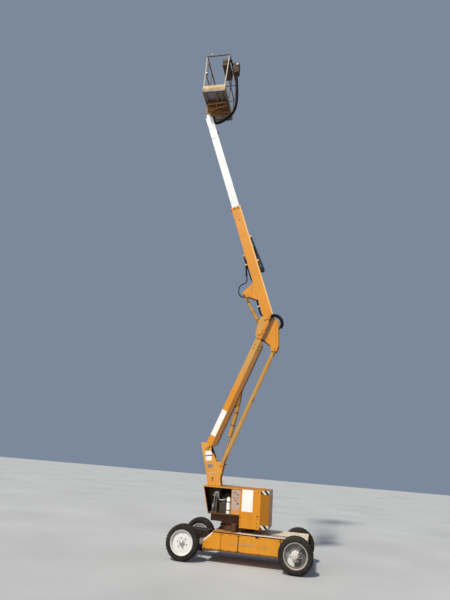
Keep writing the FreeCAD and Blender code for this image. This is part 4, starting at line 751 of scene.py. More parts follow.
class Tree:
    """A geometry tree with named inputs, which ends in real geometry and its material."""

    def __init__(self, name, inputs):
        self.group = bpy.data.node_groups.new(name, "GeometryNodeTree")
        face = self.group.interface
        face.new_socket("Geometry", in_out="INPUT", socket_type="NodeSocketGeometry")
        kinds = {"Finish": "NodeSocketMaterial", "Count": "NodeSocketInt"}
        for key in (*inputs, "Finish"):
            face.new_socket(key, in_out="INPUT", socket_type=kinds.get(key, "NodeSocketFloat"))
        face.new_socket("Geometry", in_out="OUTPUT", socket_type="NodeSocketGeometry")
        self.given = self.group.nodes.new("NodeGroupInput").outputs

    def add(self, kind, inputs=(), **settings):
        return add_node(self.group, kind, inputs, settings).outputs[0]

    def sum(self, operation, *values):
        return self.add("ShaderNodeMath", enumerate(values), operation=operation)

    def vector(self, x=0.0, y=0.0, z=0.0):
        return self.add("ShaderNodeCombineXYZ", {0: x, 1: y, 2: z})

    def move(self, shape, **changes):
        return self.add("GeometryNodeTransform", {"Geometry": shape, **changes})

    def repeat(self, shape, points, turn):
        return self.add("GeometryNodeInstanceOnPoints",
                        {"Points": points, "Instance": shape, "Rotation": turn})

    def join(self, *shapes):
        node = self.group.nodes.new("GeometryNodeJoinGeometry")
        for shape in reversed(shapes):
            self.group.links.new(shape, node.inputs[0])
        return node.outputs[0]

    def finish(self, shape):
        real = self.add("GeometryNodeRealizeInstances", {0: shape})
        done = self.add("GeometryNodeSetMaterial", {"Geometry": real, "Material": self.given["Finish"]})
        out = self.group.nodes.new("NodeGroupOutput")
        self.group.links.new(done, out.inputs[0])
        return self

    def mesh(self, name, points, finish, **values):
        """The tree's result on some points, as a plain mesh."""
        thing = link(bpy.data.objects.new(name, points))
        modifier = thing.modifiers.new("tree", "NODES")
        modifier.node_group = self.group
        values = {key.replace("_", " "): value for key, value in values.items()}
        values["Finish"] = FINISHES[finish]
        for socket in self.group.interface.items_tree:
            if socket.in_out == "INPUT" and socket.name in values:
                modifier[socket.identifier] = values[socket.name]
        return evaluated(thing)


def fastener_tree():
    """A six-sided head on a washer at every point, standing along the point's aim."""
    tree = Tree("fasteners", ("Head radius", "Head height", "Washer radius", "Washer height"))
    given = tree.given
    head_middle = tree.sum("ADD", given["Washer height"], tree.sum("MULTIPLY", given["Head height"], 0.5))
    washer_middle = tree.sum("MULTIPLY", given["Washer height"], 0.5)
    parts = []
    for sides, part, lift in ((6, "Head", head_middle), (12, "Washer", washer_middle)):
        disc = tree.add("GeometryNodeMeshCylinder", {
            "Vertices": sides, "Radius": given[part + " radius"], "Depth": given[part + " height"]})
        parts.append(tree.move(disc, Translation=tree.vector(z=lift)))
    aim = tree.add("GeometryNodeInputNamedAttribute", {"Name": "aim"}, data_type="FLOAT_VECTOR")
    turned = tree.add("FunctionNodeAlignRotationToVector", {"Vector": aim}, axis="Z")
    return tree.finish(tree.repeat(tree.join(*parts), given["Geometry"], turned))


def tread_tree():
    """Two rows of slanting lugs round a wheel whose axle is Z."""
    tree = Tree("tread", ("Count", "Radius", "Lug high", "Lug wide", "Lug long", "Row offset", "Slant"))
    given = tree.given
    rows = []
    for way in (1, -1):
        circle_of_lugs = tree.add("GeometryNodeMeshCircle",
                                  {"Vertices": given["Count"], "Radius": given["Radius"]})
        outward = tree.add("GeometryNodeInputPosition")
        turned = tree.add("FunctionNodeAlignRotationToVector", {"Vector": outward}, axis="X", pivot_axis="Z")
        size = tree.vector(given["Lug high"], given["Lug wide"], given["Lug long"])
        block = tree.add("GeometryNodeMeshCube", {"Size": size})
        facing = tree.add("ShaderNodeSeparateXYZ", {0: tree.add("GeometryNodeInputNormal")})
        top = tree.sum("GREATER_THAN", facing, 0.5)
        block = tree.add("GeometryNodeScaleElements", {"Geometry": block, "Selection": top, "Scale": 0.82})
        slanted = tree.move(block, Rotation=tree.vector(x=tree.sum("MULTIPLY", given["Slant"], way)))
        row = tree.repeat(slanted, circle_of_lugs, turned)
        half_step = tree.sum("DIVIDE", math.pi * (way + 1) / 2, given["Count"])
        offset = tree.vector(z=tree.sum("MULTIPLY", given["Row offset"], way))
        rows.append(tree.move(row, Translation=offset, Rotation=tree.vector(z=half_step)))
    return tree.finish(tree.join(*rows))


def grip_tree():
    """Small raised lozenges at every point, each turned across the last."""
    tree = Tree("grip", ("Lozenge long", "Lozenge wide", "Lozenge high"))
    given = tree.given
    stud = tree.add("GeometryNodeMeshCone",
                    {"Vertices": 6, "Radius Top": 0.35, "Radius Bottom": 1.0, "Depth": 1.0})
    size = tree.vector(given["Lozenge long"], given["Lozenge wide"], given["Lozenge high"])
    odd = tree.sum("MODULO", tree.add("GeometryNodeInputIndex"), 2.0)
    turn = tree.vector(z=tree.sum("MULTIPLY_ADD", odd, math.pi / 2, math.pi / 4))
    return tree.finish(tree.repeat(tree.move(stud, Scale=size), given["Geometry"], turn))


FASTENERS, TREAD, GRIP = fastener_tree(), tread_tree(), grip_tree()


def fasteners(name, spots, body, finish="dark_bolt", slot="steel", radius=0.008, high=0.006):
    """Bolts at pairs of place and outward direction."""
    points = bpy.data.meshes.new(name)
    points.from_pydata([tuple(spot) for spot, aim in spots], [], [])
    aims = points.attributes.new("aim", "FLOAT_VECTOR", "POINT")
    aims.data.foreach_set("vector", [value for spot, aim in spots for value in aim])
    mesh = FASTENERS.mesh(name, points, finish, Head_radius=radius, Head_height=high,
                          Washer_radius=radius * 1.55, Washer_height=high * 0.3)
    piece(name, mesh, finish, body, slot)


def circle(centre, axis, radius, count, phase=0.0):
    """Spots round an axis, with the axis as their outward direction."""
    axis, side, other = ways_across(axis)
    return [(centre + spoke * radius, axis) for spoke in spokes(side, other, count, phase)]


def grid(first, second, third, aim, at=place):
    """Spots at every mix of three rows of measures."""
    return [(at(x, y, z), aim) for x in first for y in second for z in third]


# Hoses: the route's points are those of the solids

KNUCKLE_HOSE = (
    (0.318, -0.116, 4.712), (0.352, -0.116, 4.752), (0.410, -0.116, 4.768), (0.475, -0.116, 4.752),
    (0.540, -0.116, 4.712), (0.580, -0.105, 4.650), (0.590, -0.085, 4.580), (0.568, -0.060, 4.515),
    (0.513, -0.045, 4.486),
)
BOOM_HOSE = (
    (-0.348, -0.080, 6.200), (-0.312, -0.080, 6.090), (-0.283, -0.080, 5.990), (-0.268, -0.080, 5.870),
    (-0.262, -0.080, 5.755), (-0.245, -0.080, 5.665), (-0.236, -0.086, 5.585), (-0.272, -0.095, 5.522),
    (-0.342, -0.098, 5.500), (-0.398, -0.098, 5.440), (-0.412, -0.098, 5.360), (-0.400, -0.098, 5.265),
    (-0.345, -0.098, 5.200), (-0.285, -0.098, 5.185), (-0.232, -0.098, 5.200),
)
BOOM_HOSE_CLAMP = Vector((-0.283, -0.080, 5.990))
CAGE_BUNDLE = (
    (0.737, -0.200, 1.120), (0.745, -0.190, 0.977), (0.757, -0.165, 0.817), (0.769, -0.130, 0.637),
    (0.775, -0.085, 0.457), (0.762, -0.030, 0.297), (0.722, 0.045, 0.167), (0.647, 0.105, 0.067),
    (0.547, 0.140, -0.013), (0.437, 0.155, -0.088), (0.322, 0.160, -0.153), (0.217, 0.160, -0.178),
    (0.140, 0.160, -0.134), (0.115, 0.160, -0.042), (0.117, 0.160, 0.048),
)
HOSES = (
    # name, points, start, radius, length, body, node, sleeve's radius and its two ends as shares of the length
    ("knuckle_hose", KNUCKLE_HOSE, Vector(), 0.017, 0.532, "knuckle", "hose_knuckle", 0.036, 0.10, 0.92),
    ("boom_hose", BOOM_HOSE, Vector(), 0.012, 1.221, "upper_boom", "hose_boom", 0.021, 0.17, 0.42),
    ("cage_bundle", CAGE_BUNDLE, CAGE_PIN, 0.027, 1.907, "cage", "cage_hoses", 0.037, 0.06, 0.93),
)
HOSE_END = ((0.004, -0.02), (0.004, 0.012), (0.001, 0.03), (-0.001, 0.034))
SLEEVE_PITCH, SLEEVE_SIDES = 0.012, 16
SLEEVE_GROOVE, SLEEVE_END = 0.93, 0.6


def route(name, points, start, radius):
    """A round hose on one smooth spline."""
    data = bpy.data.curves.new(name, "CURVE")
    data.dimensions = "3D"
    spline = data.splines.new("NURBS")
    spline.points.add(len(points) - 1)
    for knot, point in zip(spline.points, points):
        knot.co = (*(start + Vector(point)), 1)
    spline.order_u = 3
    spline.use_endpoint_u = True
    data.resolution_u = 8
    data.bevel_depth = radius
    data.bevel_resolution = 4
    data.use_fill_caps = True
    return data


def spline_points(name, points, start):
    """Points along a hose's own spline."""
    line = evaluated(link(bpy.data.objects.new(name + "_line", route(name, points, start, 0))))
    return [vertex.co.copy() for vertex in line.vertices]


def sleeve(name, line, radius, start, end, body):
    """A wound sleeve round a stretch of a hose."""
    lengths = [0.0]
    for before, after in zip(line, line[1:]):
        lengths.append(lengths[-1] + (after - before).length)
    first, last = start * lengths[-1], end * lengths[-1]
    steps = round((last - first) / SLEEVE_PITCH) * 2
    rows = []
    for step in range(steps + 1):
        covered = first + (last - first) * step / steps
        k = max(i for i in range(len(line) - 1) if lengths[i] <= covered)
        centre = line[k].lerp(line[k + 1], (covered - lengths[k]) / (lengths[k + 1] - lengths[k]))
        way = (line[min(k + 2, len(line) - 1)] - line[max(k - 1, 0)]).normalized()
        wide = SLEEVE_END if step in (0, steps) else 1.0 if step % 2 else SLEEVE_GROOVE
        rows.append((centre, way, radius * wide))
    form = Form().sweep(rows, rows[0][1].orthogonal().normalized(), SLEEVE_SIDES)
    piece(name, form, "hose_rubber", body, "hose")


def hoses():
    for name, points, start, radius, length, body, node, *wrapped in HOSES:
        line = spline_points(name, points, start)
        thing = link(bpy.data.objects.new(name, route(name, points, start, radius)))
        thing.data.materials.append(FINISHES["hose_rubber"])
        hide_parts(node)
        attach(thing, body)
        tuple(start + Vector(points[0]))
        sleeve(name + "_sleeve", line, *wrapped, body)
        ends = Form()
        for i, step in ((1, 1), (len(line) - 2, -1)):
            profile = [(radius + wider, along) for wider, along in HOSE_END]
            ends.turned(line[i], line[i + step] - line[i], profile, 20)
        piece(name + "_ends", ends, "dark_bolt", body, "dark_metal")


# Wheels

TYRE_HALF = (
    (0.1925, 0.074), (0.205, 0.088), (0.214, 0.0955), (0.222, 0.0985), (0.230, 0.1012), (0.2345, 0.1048),
    (0.2395, 0.1048), (0.244, 0.1015), (0.258, 0.1012), (0.270, 0.0978), (0.280, 0.091), (0.2885, 0.081),
    (0.2915, 0.060), (0.2925, 0.030), (0.2925, 0.012), (0.288, 0.009),
)
TYRE_CASING = [(radius, -along) for radius, along in TYRE_HALF] + list(reversed(TYRE_HALF))
TYRE_SIDES = 72
TREAD_SIZES = {"Count": 34, "Radius": 0.2935, "Lug_high": 0.011, "Lug_wide": 0.034, "Lug_long": 0.062,
               "Row_offset": 0.045, "Slant": 0.42}
STUD_RADIUS = 0.0085
VALVE = ((0.005, 0), (0.005, 0.03), (0.0035, 0.032), (0.0035, 0.04))
WHEEL_FITTINGS = {
    # rings of studs (distance out, radius, count, phase), their height, the valve's distance out, the cap
    "front": ([(0.0555, 0.084, 6, 0.0)], 0.013, 0.046,
              ((0.030, 0.080), (0.034, 0.083), (0.034, 0.096), (0.028, 0.1), (0.006, 0.101))),
    "rear": ([(-0.0325, 0.098, 8, 0.5), (0.032, 0.064, 10, 0.0)], 0.012, -0.03,
             ((0.026, 0.060), (0.030, 0.064), (0.030, 0.072), (0.012, 0.074), (0.010, 0.080),
              (0.003, 0.081))),
}


def wheel_pieces():
    for wheel in WHEELS:
        centre = middle(f"tyre_{wheel}")
        out = ACROSS * (-1 if "left" in wheel else 1)
        body = f"wheel_{wheel}"
        casing = Form().band(centre, out, TYRE_CASING, TYRE_SIDES)
        piece(f"tyre_casing_{wheel}", casing, "tyre_rubber", body, "tyre", [f"tyre_{wheel}"])
        lugs = TREAD.mesh("lugs", bpy.data.meshes.new("lugs"), "tyre_rubber", **TREAD_SIZES)
        lugs.transform(Matrix.Translation(centre) @ rotation(90, "X"))
        piece(f"tyre_tread_{wheel}", lugs, "tyre_rubber", body, "tyre")
        rings, stud_high, valve_out, cap = WHEEL_FITTINGS[wheel.split("_")[0]]
        spots = []
        for distance, *ring in rings:
            spots += circle(centre + out * distance, out, *ring)
        fasteners(f"wheel_studs_{wheel}", spots, body, "bare_steel", "steel", STUD_RADIUS, stud_high)
        hub = Form().turned(centre, out, cap, 28)
        hub.turned(centre + out * valve_out + UP * 0.15, out + UP * 0.3, VALVE, 10)
        piece(f"wheel_cap_{wheel}", hub, "bare_steel", body, "steel")


# Chassis

SMALL_SCREW = {"radius": 0.006, "high": 0.0035}
COVER_FACE, COVER_LOW = 0.524, 0.213
SCREW_IN = 0.022
COVERS = (
    # start, end, top, how far in its first upper screw stands
    (-0.655, -0.336, 0.487, 0.17),
    (-0.330, -0.021, 0.495, SCREW_IN),
    (-0.015, 0.734, 0.495, SCREW_IN),
)
TAIL_SIDE_FACE = 0.5201
# rows of x, y, z, width, height, depth, corner
GHOSTS = (
    (0.033, -COVER_FACE, 0.352, 0.50, 0.045, 0.0015, 0.006),
    (0.444, -COVER_FACE, 0.350, 0.105, 0.04, 0.0015, 0.006),
)
COVER_PLATES = (
    ("cover_latches", "moulded_plastic", "black_plastic", (
        (0.31, COVER_FACE, 0.487, 0.055, 0.022, 0.004, 0.006),
        (0.31, COVER_FACE, 0.487, 0.030, 0.014, 0.012, 0.005))),
    ("cover_seals", "moulded_plastic", "black_plastic", (
        (0.345, 0.511, 0.503, 1.66, 0.018, 0.014),
        (-0.018, COVER_FACE, 0.352, 0.016, 0.28, 0.0015))),
    ("cover_hems", "brown_paint", "orange", (
        (0.04, COVER_FACE, 0.2205, 1.388, 0.014, 0.0015),
        (0.728, COVER_FACE, 0.354, 0.012, 0.28, 0.0015),
        (-0.333, COVER_FACE, 0.352, 0.009, 0.275, 0.0015))),
)
SLOPE_MIDDLE, SLOPE_WAY = (-0.5715, 0.4195), Vector((0.155, 0, 0.137))
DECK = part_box("chassis_deck")[1].z
SLOT_START, SLOT_END, SLOT_RIGHT, SLOT_LEFT, SLOT_FLOOR = 0.22, 0.86, -0.24, -0.33, 0.443
SLOT_X, SLOT_Y = (SLOT_START + SLOT_END) / 2, (SLOT_LEFT + SLOT_RIGHT) / 2
SLOT_RIBS, RIB_PITCH = 16, 0.04
FLAT_PLATES = (
    ("slot_ribs", "slot_rubber", "black_plastic",
     [(SLOT_START + RIB_PITCH * (i + 0.5), SLOT_Y, SLOT_FLOOR + 0.001, 0.022, 0.086, 0.034, 0.008)
      for i in range(SLOT_RIBS)]),
    ("slot_seal", "slot_rubber", "black_plastic",
     [(SLOT_X, y, DECK, 0.66, 0.024, 0.006, 0.006) for y in (SLOT_LEFT - 0.012, SLOT_RIGHT + 0.012)]
     + [(x, SLOT_Y, DECK, 0.012, 0.088, 0.006, 0.003) for x in (SLOT_START - 0.006, SLOT_END + 0.006)]),
    ("deck_edge_strips", "deck_paint", "orange",
     [(0.345, sign * 0.498, DECK - 0.001, 1.66, 0.016, 0.004, 0.004) for sign in SIGNS]),
)


def cover_spots(sign):
    spots = []
    for start, end, top, first in COVERS:
        low, high, centre = COVER_LOW + 0.02, top - 0.02, (start + end) / 2
        for x, z in ((start + SCREW_IN, low), (end - SCREW_IN, low), (start + first, high),
                     (end - SCREW_IN, high),
                     (centre, low), (centre, high)):
            spots.append((Vector((x, sign * COVER_FACE, z)), ACROSS * sign))
    return spots


def chassis_pieces():
    spots = cover_spots(-1) + cover_spots(1)
    for x in (0.80, 0.93, 1.07, 1.16):
        spots += [(Vector((x, sign * TAIL_SIDE_FACE, 0.46)), ACROSS * sign) for sign in SIGNS]
    fasteners("cover_screws", spots, "chassis", **SMALL_SCREW)
    piece("side_name_plates", plates(GHOSTS), "ghost_plate", "chassis", "orange")
    for name, finish, slot, rows in COVER_PLATES:
        piece(name, side_plates(rows), finish, "chassis", slot)
    # Painted highlight: pale strips along the sloped edges of the front covers
    slope_highlights = Form()
    for sign in SIGNS:
        centre = Vector((SLOPE_MIDDLE[0], sign * COVER_FACE, SLOPE_MIDDLE[1]))
        slope_highlights.plate(centre, SLOPE_WAY * -sign, SLOPE_WAY.cross(ACROSS), 0.20, 0.020, 0.002, 0.003)
    piece("cover_slope_highlights", slope_highlights, "white_plate", "chassis", "white_paint")
    for name, finish, slot, rows in FLAT_PLATES:
        piece(name, plates(rows, AHEAD, ACROSS), finish, "chassis", slot)
    spots = grid((0.24, 0.42, 0.60, 0.78, 1.0, 1.15), (-0.44, 0.2, 0.44), [DECK], UP)
    spots += grid((0.95, 1.12), (-0.22, 0.0), [DECK], UP)
    fasteners("deck_screws", spots, "chassis", **SMALL_SCREW)
    ring = circle(Vector((middle("slew_pedestal").x, 0, DECK + 0.014)), UP, 0.324, 24)
    fasteners("pedestal_bolts", ring, "chassis", radius=0.007, high=0.008)


# Turntable

TAIL_FACE, TAIL_BACK = 0.45, 0.485
TAIL_CORNER, TAIL_END = Vector((0.335, -TAIL_FACE, 0)), Vector((TAIL_BACK, -0.345, 0))
TAIL_LOW, TAIL_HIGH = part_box("tail_box")
LABEL = (0.096, -TAIL_FACE, 1.064, 0.205, 0.372, 0.0015, 0.006)
LID = [(0.24, 0, TAIL_HIGH.z, 0.30, 0.60, 0.003, 0.02)]
LID += [(0.30, y, TAIL_HIGH.z, 0.09, 0.04, 0.012, 0.01) for y in (-0.3, 0.3)]
STRIPE_INSET, STRIPE_SIZE = 0.038, (0.068, 0.001, 0.002)
TAIL_LATCH = (0.290, 0.821)
PANEL_FACE = -0.4405
SWITCHES = ((-0.165, 1.19), (-0.125, 1.19), (-0.085, 1.15), (-0.165, 1.10), (-0.125, 1.05))
SWITCH = ((0.010, 0), (0.010, 0.004), (0.006, 0.006), (0.004, 0.007), (0.003, 0.022))
SILVER_PIPE = ((-0.53, 1.02), (-0.538, 1.15), (-0.46, 1.163), (-0.447, 1.03), (-0.34, 1.042), (-0.29, 1.07))
SILVER_CUP = ((0.022, 0), (0.024, 0.004), (0.024, 0.045), (0.012, 0.055), (0.012, 0.075))


def mirrored(spot):
    return Vector((spot.x, -spot.y, spot.z))


def turntable_pieces():
    piece("tail_label", plates([LABEL]), "white_plate", "turntable", "white_paint")
    stripes = Form()
    for z in (TAIL_HIGH.z - STRIPE_INSET, TAIL_LOW.z + STRIPE_INSET):
        for corner, end in ((TAIL_CORNER, TAIL_END), (mirrored(TAIL_END), mirrored(TAIL_CORNER))):
            centre = (corner + end) / 2 + UP * z
            stripes.plate(centre, end - corner, UP, (end - corner).length - 0.004, *STRIPE_SIZE)
        stripes.plate(Vector((TAIL_HIGH.x, 0, z)), ACROSS, UP, 0.684, *STRIPE_SIZE)
    piece("hazard_stripes", stripes, "stripe_paint", "turntable", "white_paint")
    piece("tail_lid", plates(LID, AHEAD, ACROSS), "orange_paint", "turntable", "orange")
    latch = Form()
    for sign in SIGNS:
        centre = Vector((TAIL_LATCH[0], sign * TAIL_FACE, TAIL_LATCH[1]))
        latch.plate(centre, AHEAD * -sign, UP, 0.034, 0.018, 0.004, 0.004)
        latch.turned(centre, ACROSS * sign, ((0.006, 0), (0.006, 0.009), (0.003, 0.010)), 14)
    piece("tail_latches", latch, "brown_paint", "turntable", "black_plastic")
    spots = []
    roof_spots = []
    for sign in SIGNS:
        spots += grid((-0.015, 0.286), [sign * TAIL_FACE], (0.64, 0.70, 0.77, 1.23), ACROSS * sign)
        roof_spots += grid((-0.70, -0.52, -0.36, -0.22, -0.08), [sign * 0.426], [1.262], UP)
    spots += grid([TAIL_BACK], (-0.31, 0, 0.31), (0.76, 1.1), AHEAD)
    fasteners("tail_screws", spots, "turntable", **SMALL_SCREW)
    fasteners("roof_screws", roof_spots, "turntable", **SMALL_SCREW)
    compartment()
    keys = Form()
    for x, z in SWITCHES:
        keys.turned(Vector((x, PANEL_FACE, z)), -ACROSS, SWITCH, 16)
    keys.turned(Vector((-0.085, PANEL_FACE, 1.0)), -ACROSS,
                ((0.014, 0), (0.014, 0.005), (0.009, 0.007), (0.009, 0.014)), 18)
    piece("panel_switches", keys, "moulded_plastic", "turntable", "black_plastic")


def compartment():
    """Pipes, wires and fittings between the pieces of the open compartment."""
    valve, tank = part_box("valve_block"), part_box("oil_tank")
    pipes = Form()
    top = valve[1].z - 0.03
    for i in range(3):
        y = valve[0].y + 0.02 + 0.028 * i
        tank_x = tank[0].x + 0.03 + 0.03 * i
        start = Vector((valve[1].x - 0.02, y, top - 0.02 * i))
        pipes.pipe((start, start + AHEAD * 0.045, start + AHEAD * 0.05 - UP * (0.1 + 0.03 * i),
                    Vector((tank_x, y + 0.03, tank[1].z + 0.05)),
                    Vector((tank_x, y + 0.05, tank[1].z - 0.005))), 0.0065)
    pump = middle("pump_set")
    start = Vector((pump.x, pump.y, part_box("pump_set")[1].z - 0.004))
    end = valve[0] + Vector((0.05, 0.045, 0.29))
    pipes.pipe((start, start + UP * 0.05, start + UP * 0.07 + AHEAD * 0.04, end), 0.008)
    piece("compartment_pipes", pipes, "hose_rubber", "turntable", "hose")
    silver = Form().pipe([Vector((x, -0.405, z)) for x, z in SILVER_PIPE], 0.006, 8, 0.25)
    silver.turned(Vector((-0.552, -0.395, 0.89)), UP, SILVER_CUP, 18)
    for i in range(4):
        nut = Vector((valve[0].x + 0.015 + 0.016 * i, valve[0].y + 0.004, top - 0.045))
        silver.turned(nut, -ACROSS, ((0.006, 0), (0.006, 0.012), (0.003, 0.013)), 10)
    piece("compartment_bars", silver, "zinc", "turntable", "steel")
    straps = Form()
    can, can_low = middle("filter_canister"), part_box("filter_canister")[0].z
    for lift in (0.06, 0.2):
        straps.band(Vector((can.x, can.y, can_low + lift)), UP,
                    ((0.0375, -0.008), (0.0415, -0.007), (0.0415, 0.007), (0.0375, 0.008)))
    piece("canister_straps", straps, "dark_bolt", "turntable", "dark_metal")
    box = plates(((-0.30, -0.30, 1.10, 0.10, 0.12, 0.06, 0.01),
                  (-0.30, -0.36, 1.10, 0.07, 0.09, 0.006, 0.008)))
    piece("relay_box", box, "moulded_plastic", "turntable", "black_plastic")


# Booms

KEEPER_FACE, PIN_END = 0.096, 0.1105
KEEPER_RING = ((0.040, 0), (0.040, 0.004), (0.036, 0.006), (0.030, 0.006))
GREASE_NIPPLE = ((0.005, 0), (0.005, 0.004), (0.003, 0.007), (0.004, 0.010), (0.001, 0.012))
PINS = (
    ("turntable", "post", ("lower_boom_lift", "tie_turn")),
    ("knuckle", "knuckle", ("knuckle_level", "upper_boom_lift", "upper_barrel_turn")),
)
POST_WAY = Vector((-0.17, 0, 0.985))
POST_SIDE = Vector((0.985, 0, 0.17))
POST_FACE = -0.0965
POST_PLATES = (
    # name, x, z, width, height, finish, slot
    ("post_upper_plate", -0.783, 1.853, 0.150, 0.072, "white_plate", "white_paint"),
    ("post_lower_plate", -0.778, 1.750, 0.120, 0.086, "white_plate", "white_paint"),
    ("post_band", -0.776, 1.802, 0.158, 0.013, "slot_rubber", "black_plastic"),
    ("post_grey_plate", -0.736, 1.612, 0.095, 0.062, "grey_enamel", "grey_paint"),
    ("post_light_band", -0.692, 1.482, 0.150, 0.012, "cream_plastic", "white_paint"),
)
POST_LATCHES = ((-0.668, 1.364), (-0.80, 1.945))


def pin_keepers():
    for body, name, joints in PINS:
        keepers = Form()
        spots = []
        for centre in map(pivot, joints):
            for sign in SIGNS:
                out = ACROSS * sign
                base = centre + out * KEEPER_FACE
                keepers.turned(base, out, KEEPER_RING, 28)
                lug = base + (AHEAD * 0.055 + UP * 0.02)
                keepers.plate(lug, AHEAD * -sign, UP, 0.05, 0.03, 0.007, 0.01)
                spots.append((lug + out * 0.007 + AHEAD * 0.012, out))
                keepers.turned(centre + out * PIN_END, out, GREASE_NIPPLE, 10)
        piece(name + "_pin_keepers", keepers, "orange_paint", body, "steel")
        fasteners(name + "_keeper_bolts", spots, body)


def post_plates():
    for name, x, z, width, height, finish, slot in POST_PLATES:
        plate = plates([(x, POST_FACE, z, width, height, 0.0015, 0.003)], POST_SIDE, POST_WAY)
        piece(name, plate, finish, "turntable", slot)
    rows = []
    for x, z in POST_LATCHES:
        rows += [(x, POST_FACE, z, 0.012, 0.06, 0.005, 0.003),
                 (x, POST_FACE, z + 0.03, 0.045, 0.014, 0.005, 0.003)]
    piece("post_latches", plates(rows), "dark_bolt", "turntable", "dark_metal")
    switch = plates([(-0.705, POST_FACE, 1.90, 0.048, 0.085, 0.03, 0.006)], POST_SIDE, POST_WAY)
    switch.turned(Vector((-0.712, POST_FACE - 0.015, 1.94)), POST_WAY,
                  ((0.008, 0), (0.008, 0.02), (0.004, 0.028)), 12)
    piece("boom_rest_switch", switch, "moulded_plastic", "turntable", "black_plastic")


RAM_PIN = pivot("upper_barrel_turn")
RAM_WAY = slide("upper_rod_slide").normalized()
BARREL, BARREL_BAND, BORE = 0.041, 0.0428, 0.0315
BARREL_PROFILE = (
    (0.012, 0.028), (0.036, 0.030), (BARREL, 0.040), (BARREL, 0.300), (BARREL_BAND, 0.303),
    (BARREL_BAND, 0.315),
    (BARREL, 0.318), (BARREL, 0.505), (BARREL_BAND, 0.508), (BARREL_BAND, 0.545), (0.040, 0.550),
    (BORE, 0.550),
    (BORE, 0.060), (0.002, 0.058),
)
JACKET = (
    # past the barrel's radius, distance from its pin
    (-0.002, 0.160), (0.004, 0.163), (0.004, 0.205), (0.001, 0.210), (0.001, 0.235), (0.003, 0.238),
    (0.003, 0.470), (0.001, 0.473), (0.001, 0.487), (0.003, 0.490), (0.003, 0.700), (-0.002, 0.703),
)
JACKET_BAND = ((0, -0.008), (0.0035, -0.007), (0.0035, 0.007), (0, 0.008))


def cylinders():
    """The upper cylinder with its thick painted ram, and the lower one's collars and bands."""
    barrel = Form().turned(RAM_PIN, RAM_WAY, BARREL_PROFILE, 28)
    barrel.turned(RAM_PIN - ACROSS * 0.025, ACROSS,
                  ((0.024, 0), (0.035, 0.002), (0.035, 0.048), (0.024, 0.05)), 28)
    port = RAM_PIN + RAM_WAY * 0.53 - ACROSS * 0.040
    barrel.turned(port, -ACROSS, ((0.010, -0.008), (0.010, 0.006), (0.007, 0.010)), 12)
    piece("upper_cylinder", barrel, "tan_paint", "upper_barrel", "orange", ["upper_barrel"])
    ram = Form().turned(RAM_PIN, RAM_WAY, ((0.024, 0.48), (0.030, 0.485), (0.030, 0.945), (0.024, 0.955)), 28)
    piece("upper_ram", ram, "tan_paint", "upper_rod", "steel")
    pin, way = pivot("lift_barrel_turn"), slide("lift_rod_slide").normalized()
    low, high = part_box("lift_barrel")
    radius = (high.y - low.y) / 2
    jacket = Form().band(pin, way, [(radius + wider, along) for wider, along in JACKET])
    piece("lift_cylinder_jacket", jacket, "tan_paint", "lift_barrel", "orange")
    bands = Form()
    for along in (0.222, 0.480):
        bands.band(pin + way * along, way, [(radius + wider, lift) for wider, lift in JACKET_BAND])
    piece("lift_cylinder_bands", bands, "dark_bolt", "lift_barrel", "dark_metal")


def lower_boom_pieces():
    plate = plates([(0.543, -0.0802, 0.017, 0.555, 0.109, 0.0015, 0.004)], LOWER.along, LOWER.under * -1,
                   LOWER.at)
    piece("lower_boom_plate", plate, "white_plate", "lower_boom", "white_paint")
    spots = []
    for sign in SIGNS:
        spots += grid((2.25, 2.33), [sign * 0.0805], (0.0, 0.11), ACROSS * sign, LOWER.at)
    fasteners("lower_boom_bolts", spots, "lower_boom")
    lines = Form()
    for under in (0.015, 0.045):
        lines.pipe([LOWER.at(along, across, under) for along, across in
                    ((0.22, 0.076), (0.26, 0.090), (1.3, 0.090), (2.28, 0.090), (2.34, 0.076))], 0.0065, 8,
                    0.02)
    piece("lower_boom_lines", lines, "bare_steel", "lower_boom", "steel")
    clips = plates([(along, 0.0802, 0.03, 0.024, 0.075, 0.018, 0.004) for along in (0.45, 0.95, 1.45, 1.95)],
                   LOWER.along * -1, LOWER.under * -1, LOWER.at)
    piece("lower_line_clips", clips, "moulded_plastic", "lower_boom", "black_plastic")


PAD_PLACE = 2.975
WEAR_PADS = (
    (PAD_PLACE, 0, 0.012, 0.10, 0.015, 0.016, 0.003),
    (PAD_PLACE, 0, -0.192, 0.10, 0.015, 0.016, 0.003),
    (PAD_PLACE, -0.0665, -0.09, 0.014, 0.12, 0.012, 0.003),
    (PAD_PLACE, 0.0665, -0.09, 0.014, 0.12, 0.012, 0.003),
)
# rows of distance along the boom and towards its underside
UNDERSIDE_LINE = ((0.13, -0.01), (0.20, 0.014), (0.30, 0.010), (0.45, 0.002), (0.60, 0.0), (0.655, -0.018))
EDGE_LINE = ((1.56, 0.026), (1.50, 0.043), (1.30, 0.048), (1.05, 0.044), (0.99, 0.026))
CHAIN_HOSE = (
    (1.80, -0.220), (1.62, -0.226), (1.42, -0.232), (1.25, -0.236), (1.186, -0.258), (1.235, -0.284),
    (1.36, -0.277),
)
HOSE_CLAMP = ((0.0125, -0.022), (0.019, -0.020), (0.021, -0.012), (0.021, 0.012), (0.019, 0.020),
              (0.0125, 0.022))
TIP_COVER = ((0.030, 0), (0.030, 0.005), (0.022, 0.007), (0.004, 0.009))
CHAIN_START, CHAIN_PITCH, CHAIN_RISE, CHAIN_LINKS, CHAIN_RETURN = 2.080, 0.044, 0.065, 20, 5
CHAIN_SIDE, CHAIN_UNDER = 0.0452, -0.227


def lines_on_upper_boom(name, rows, points, radius, corner):
    """Hoses side by side on the upper boom, from rows of how far across and under they run."""
    form = Form()
    for across, under in rows:
        form.pipe([UPPER.at(along, across, under + lift) for along, lift in points], radius, 10, corner)
    piece(name, form, "hose_rubber", "upper_boom", "hose")


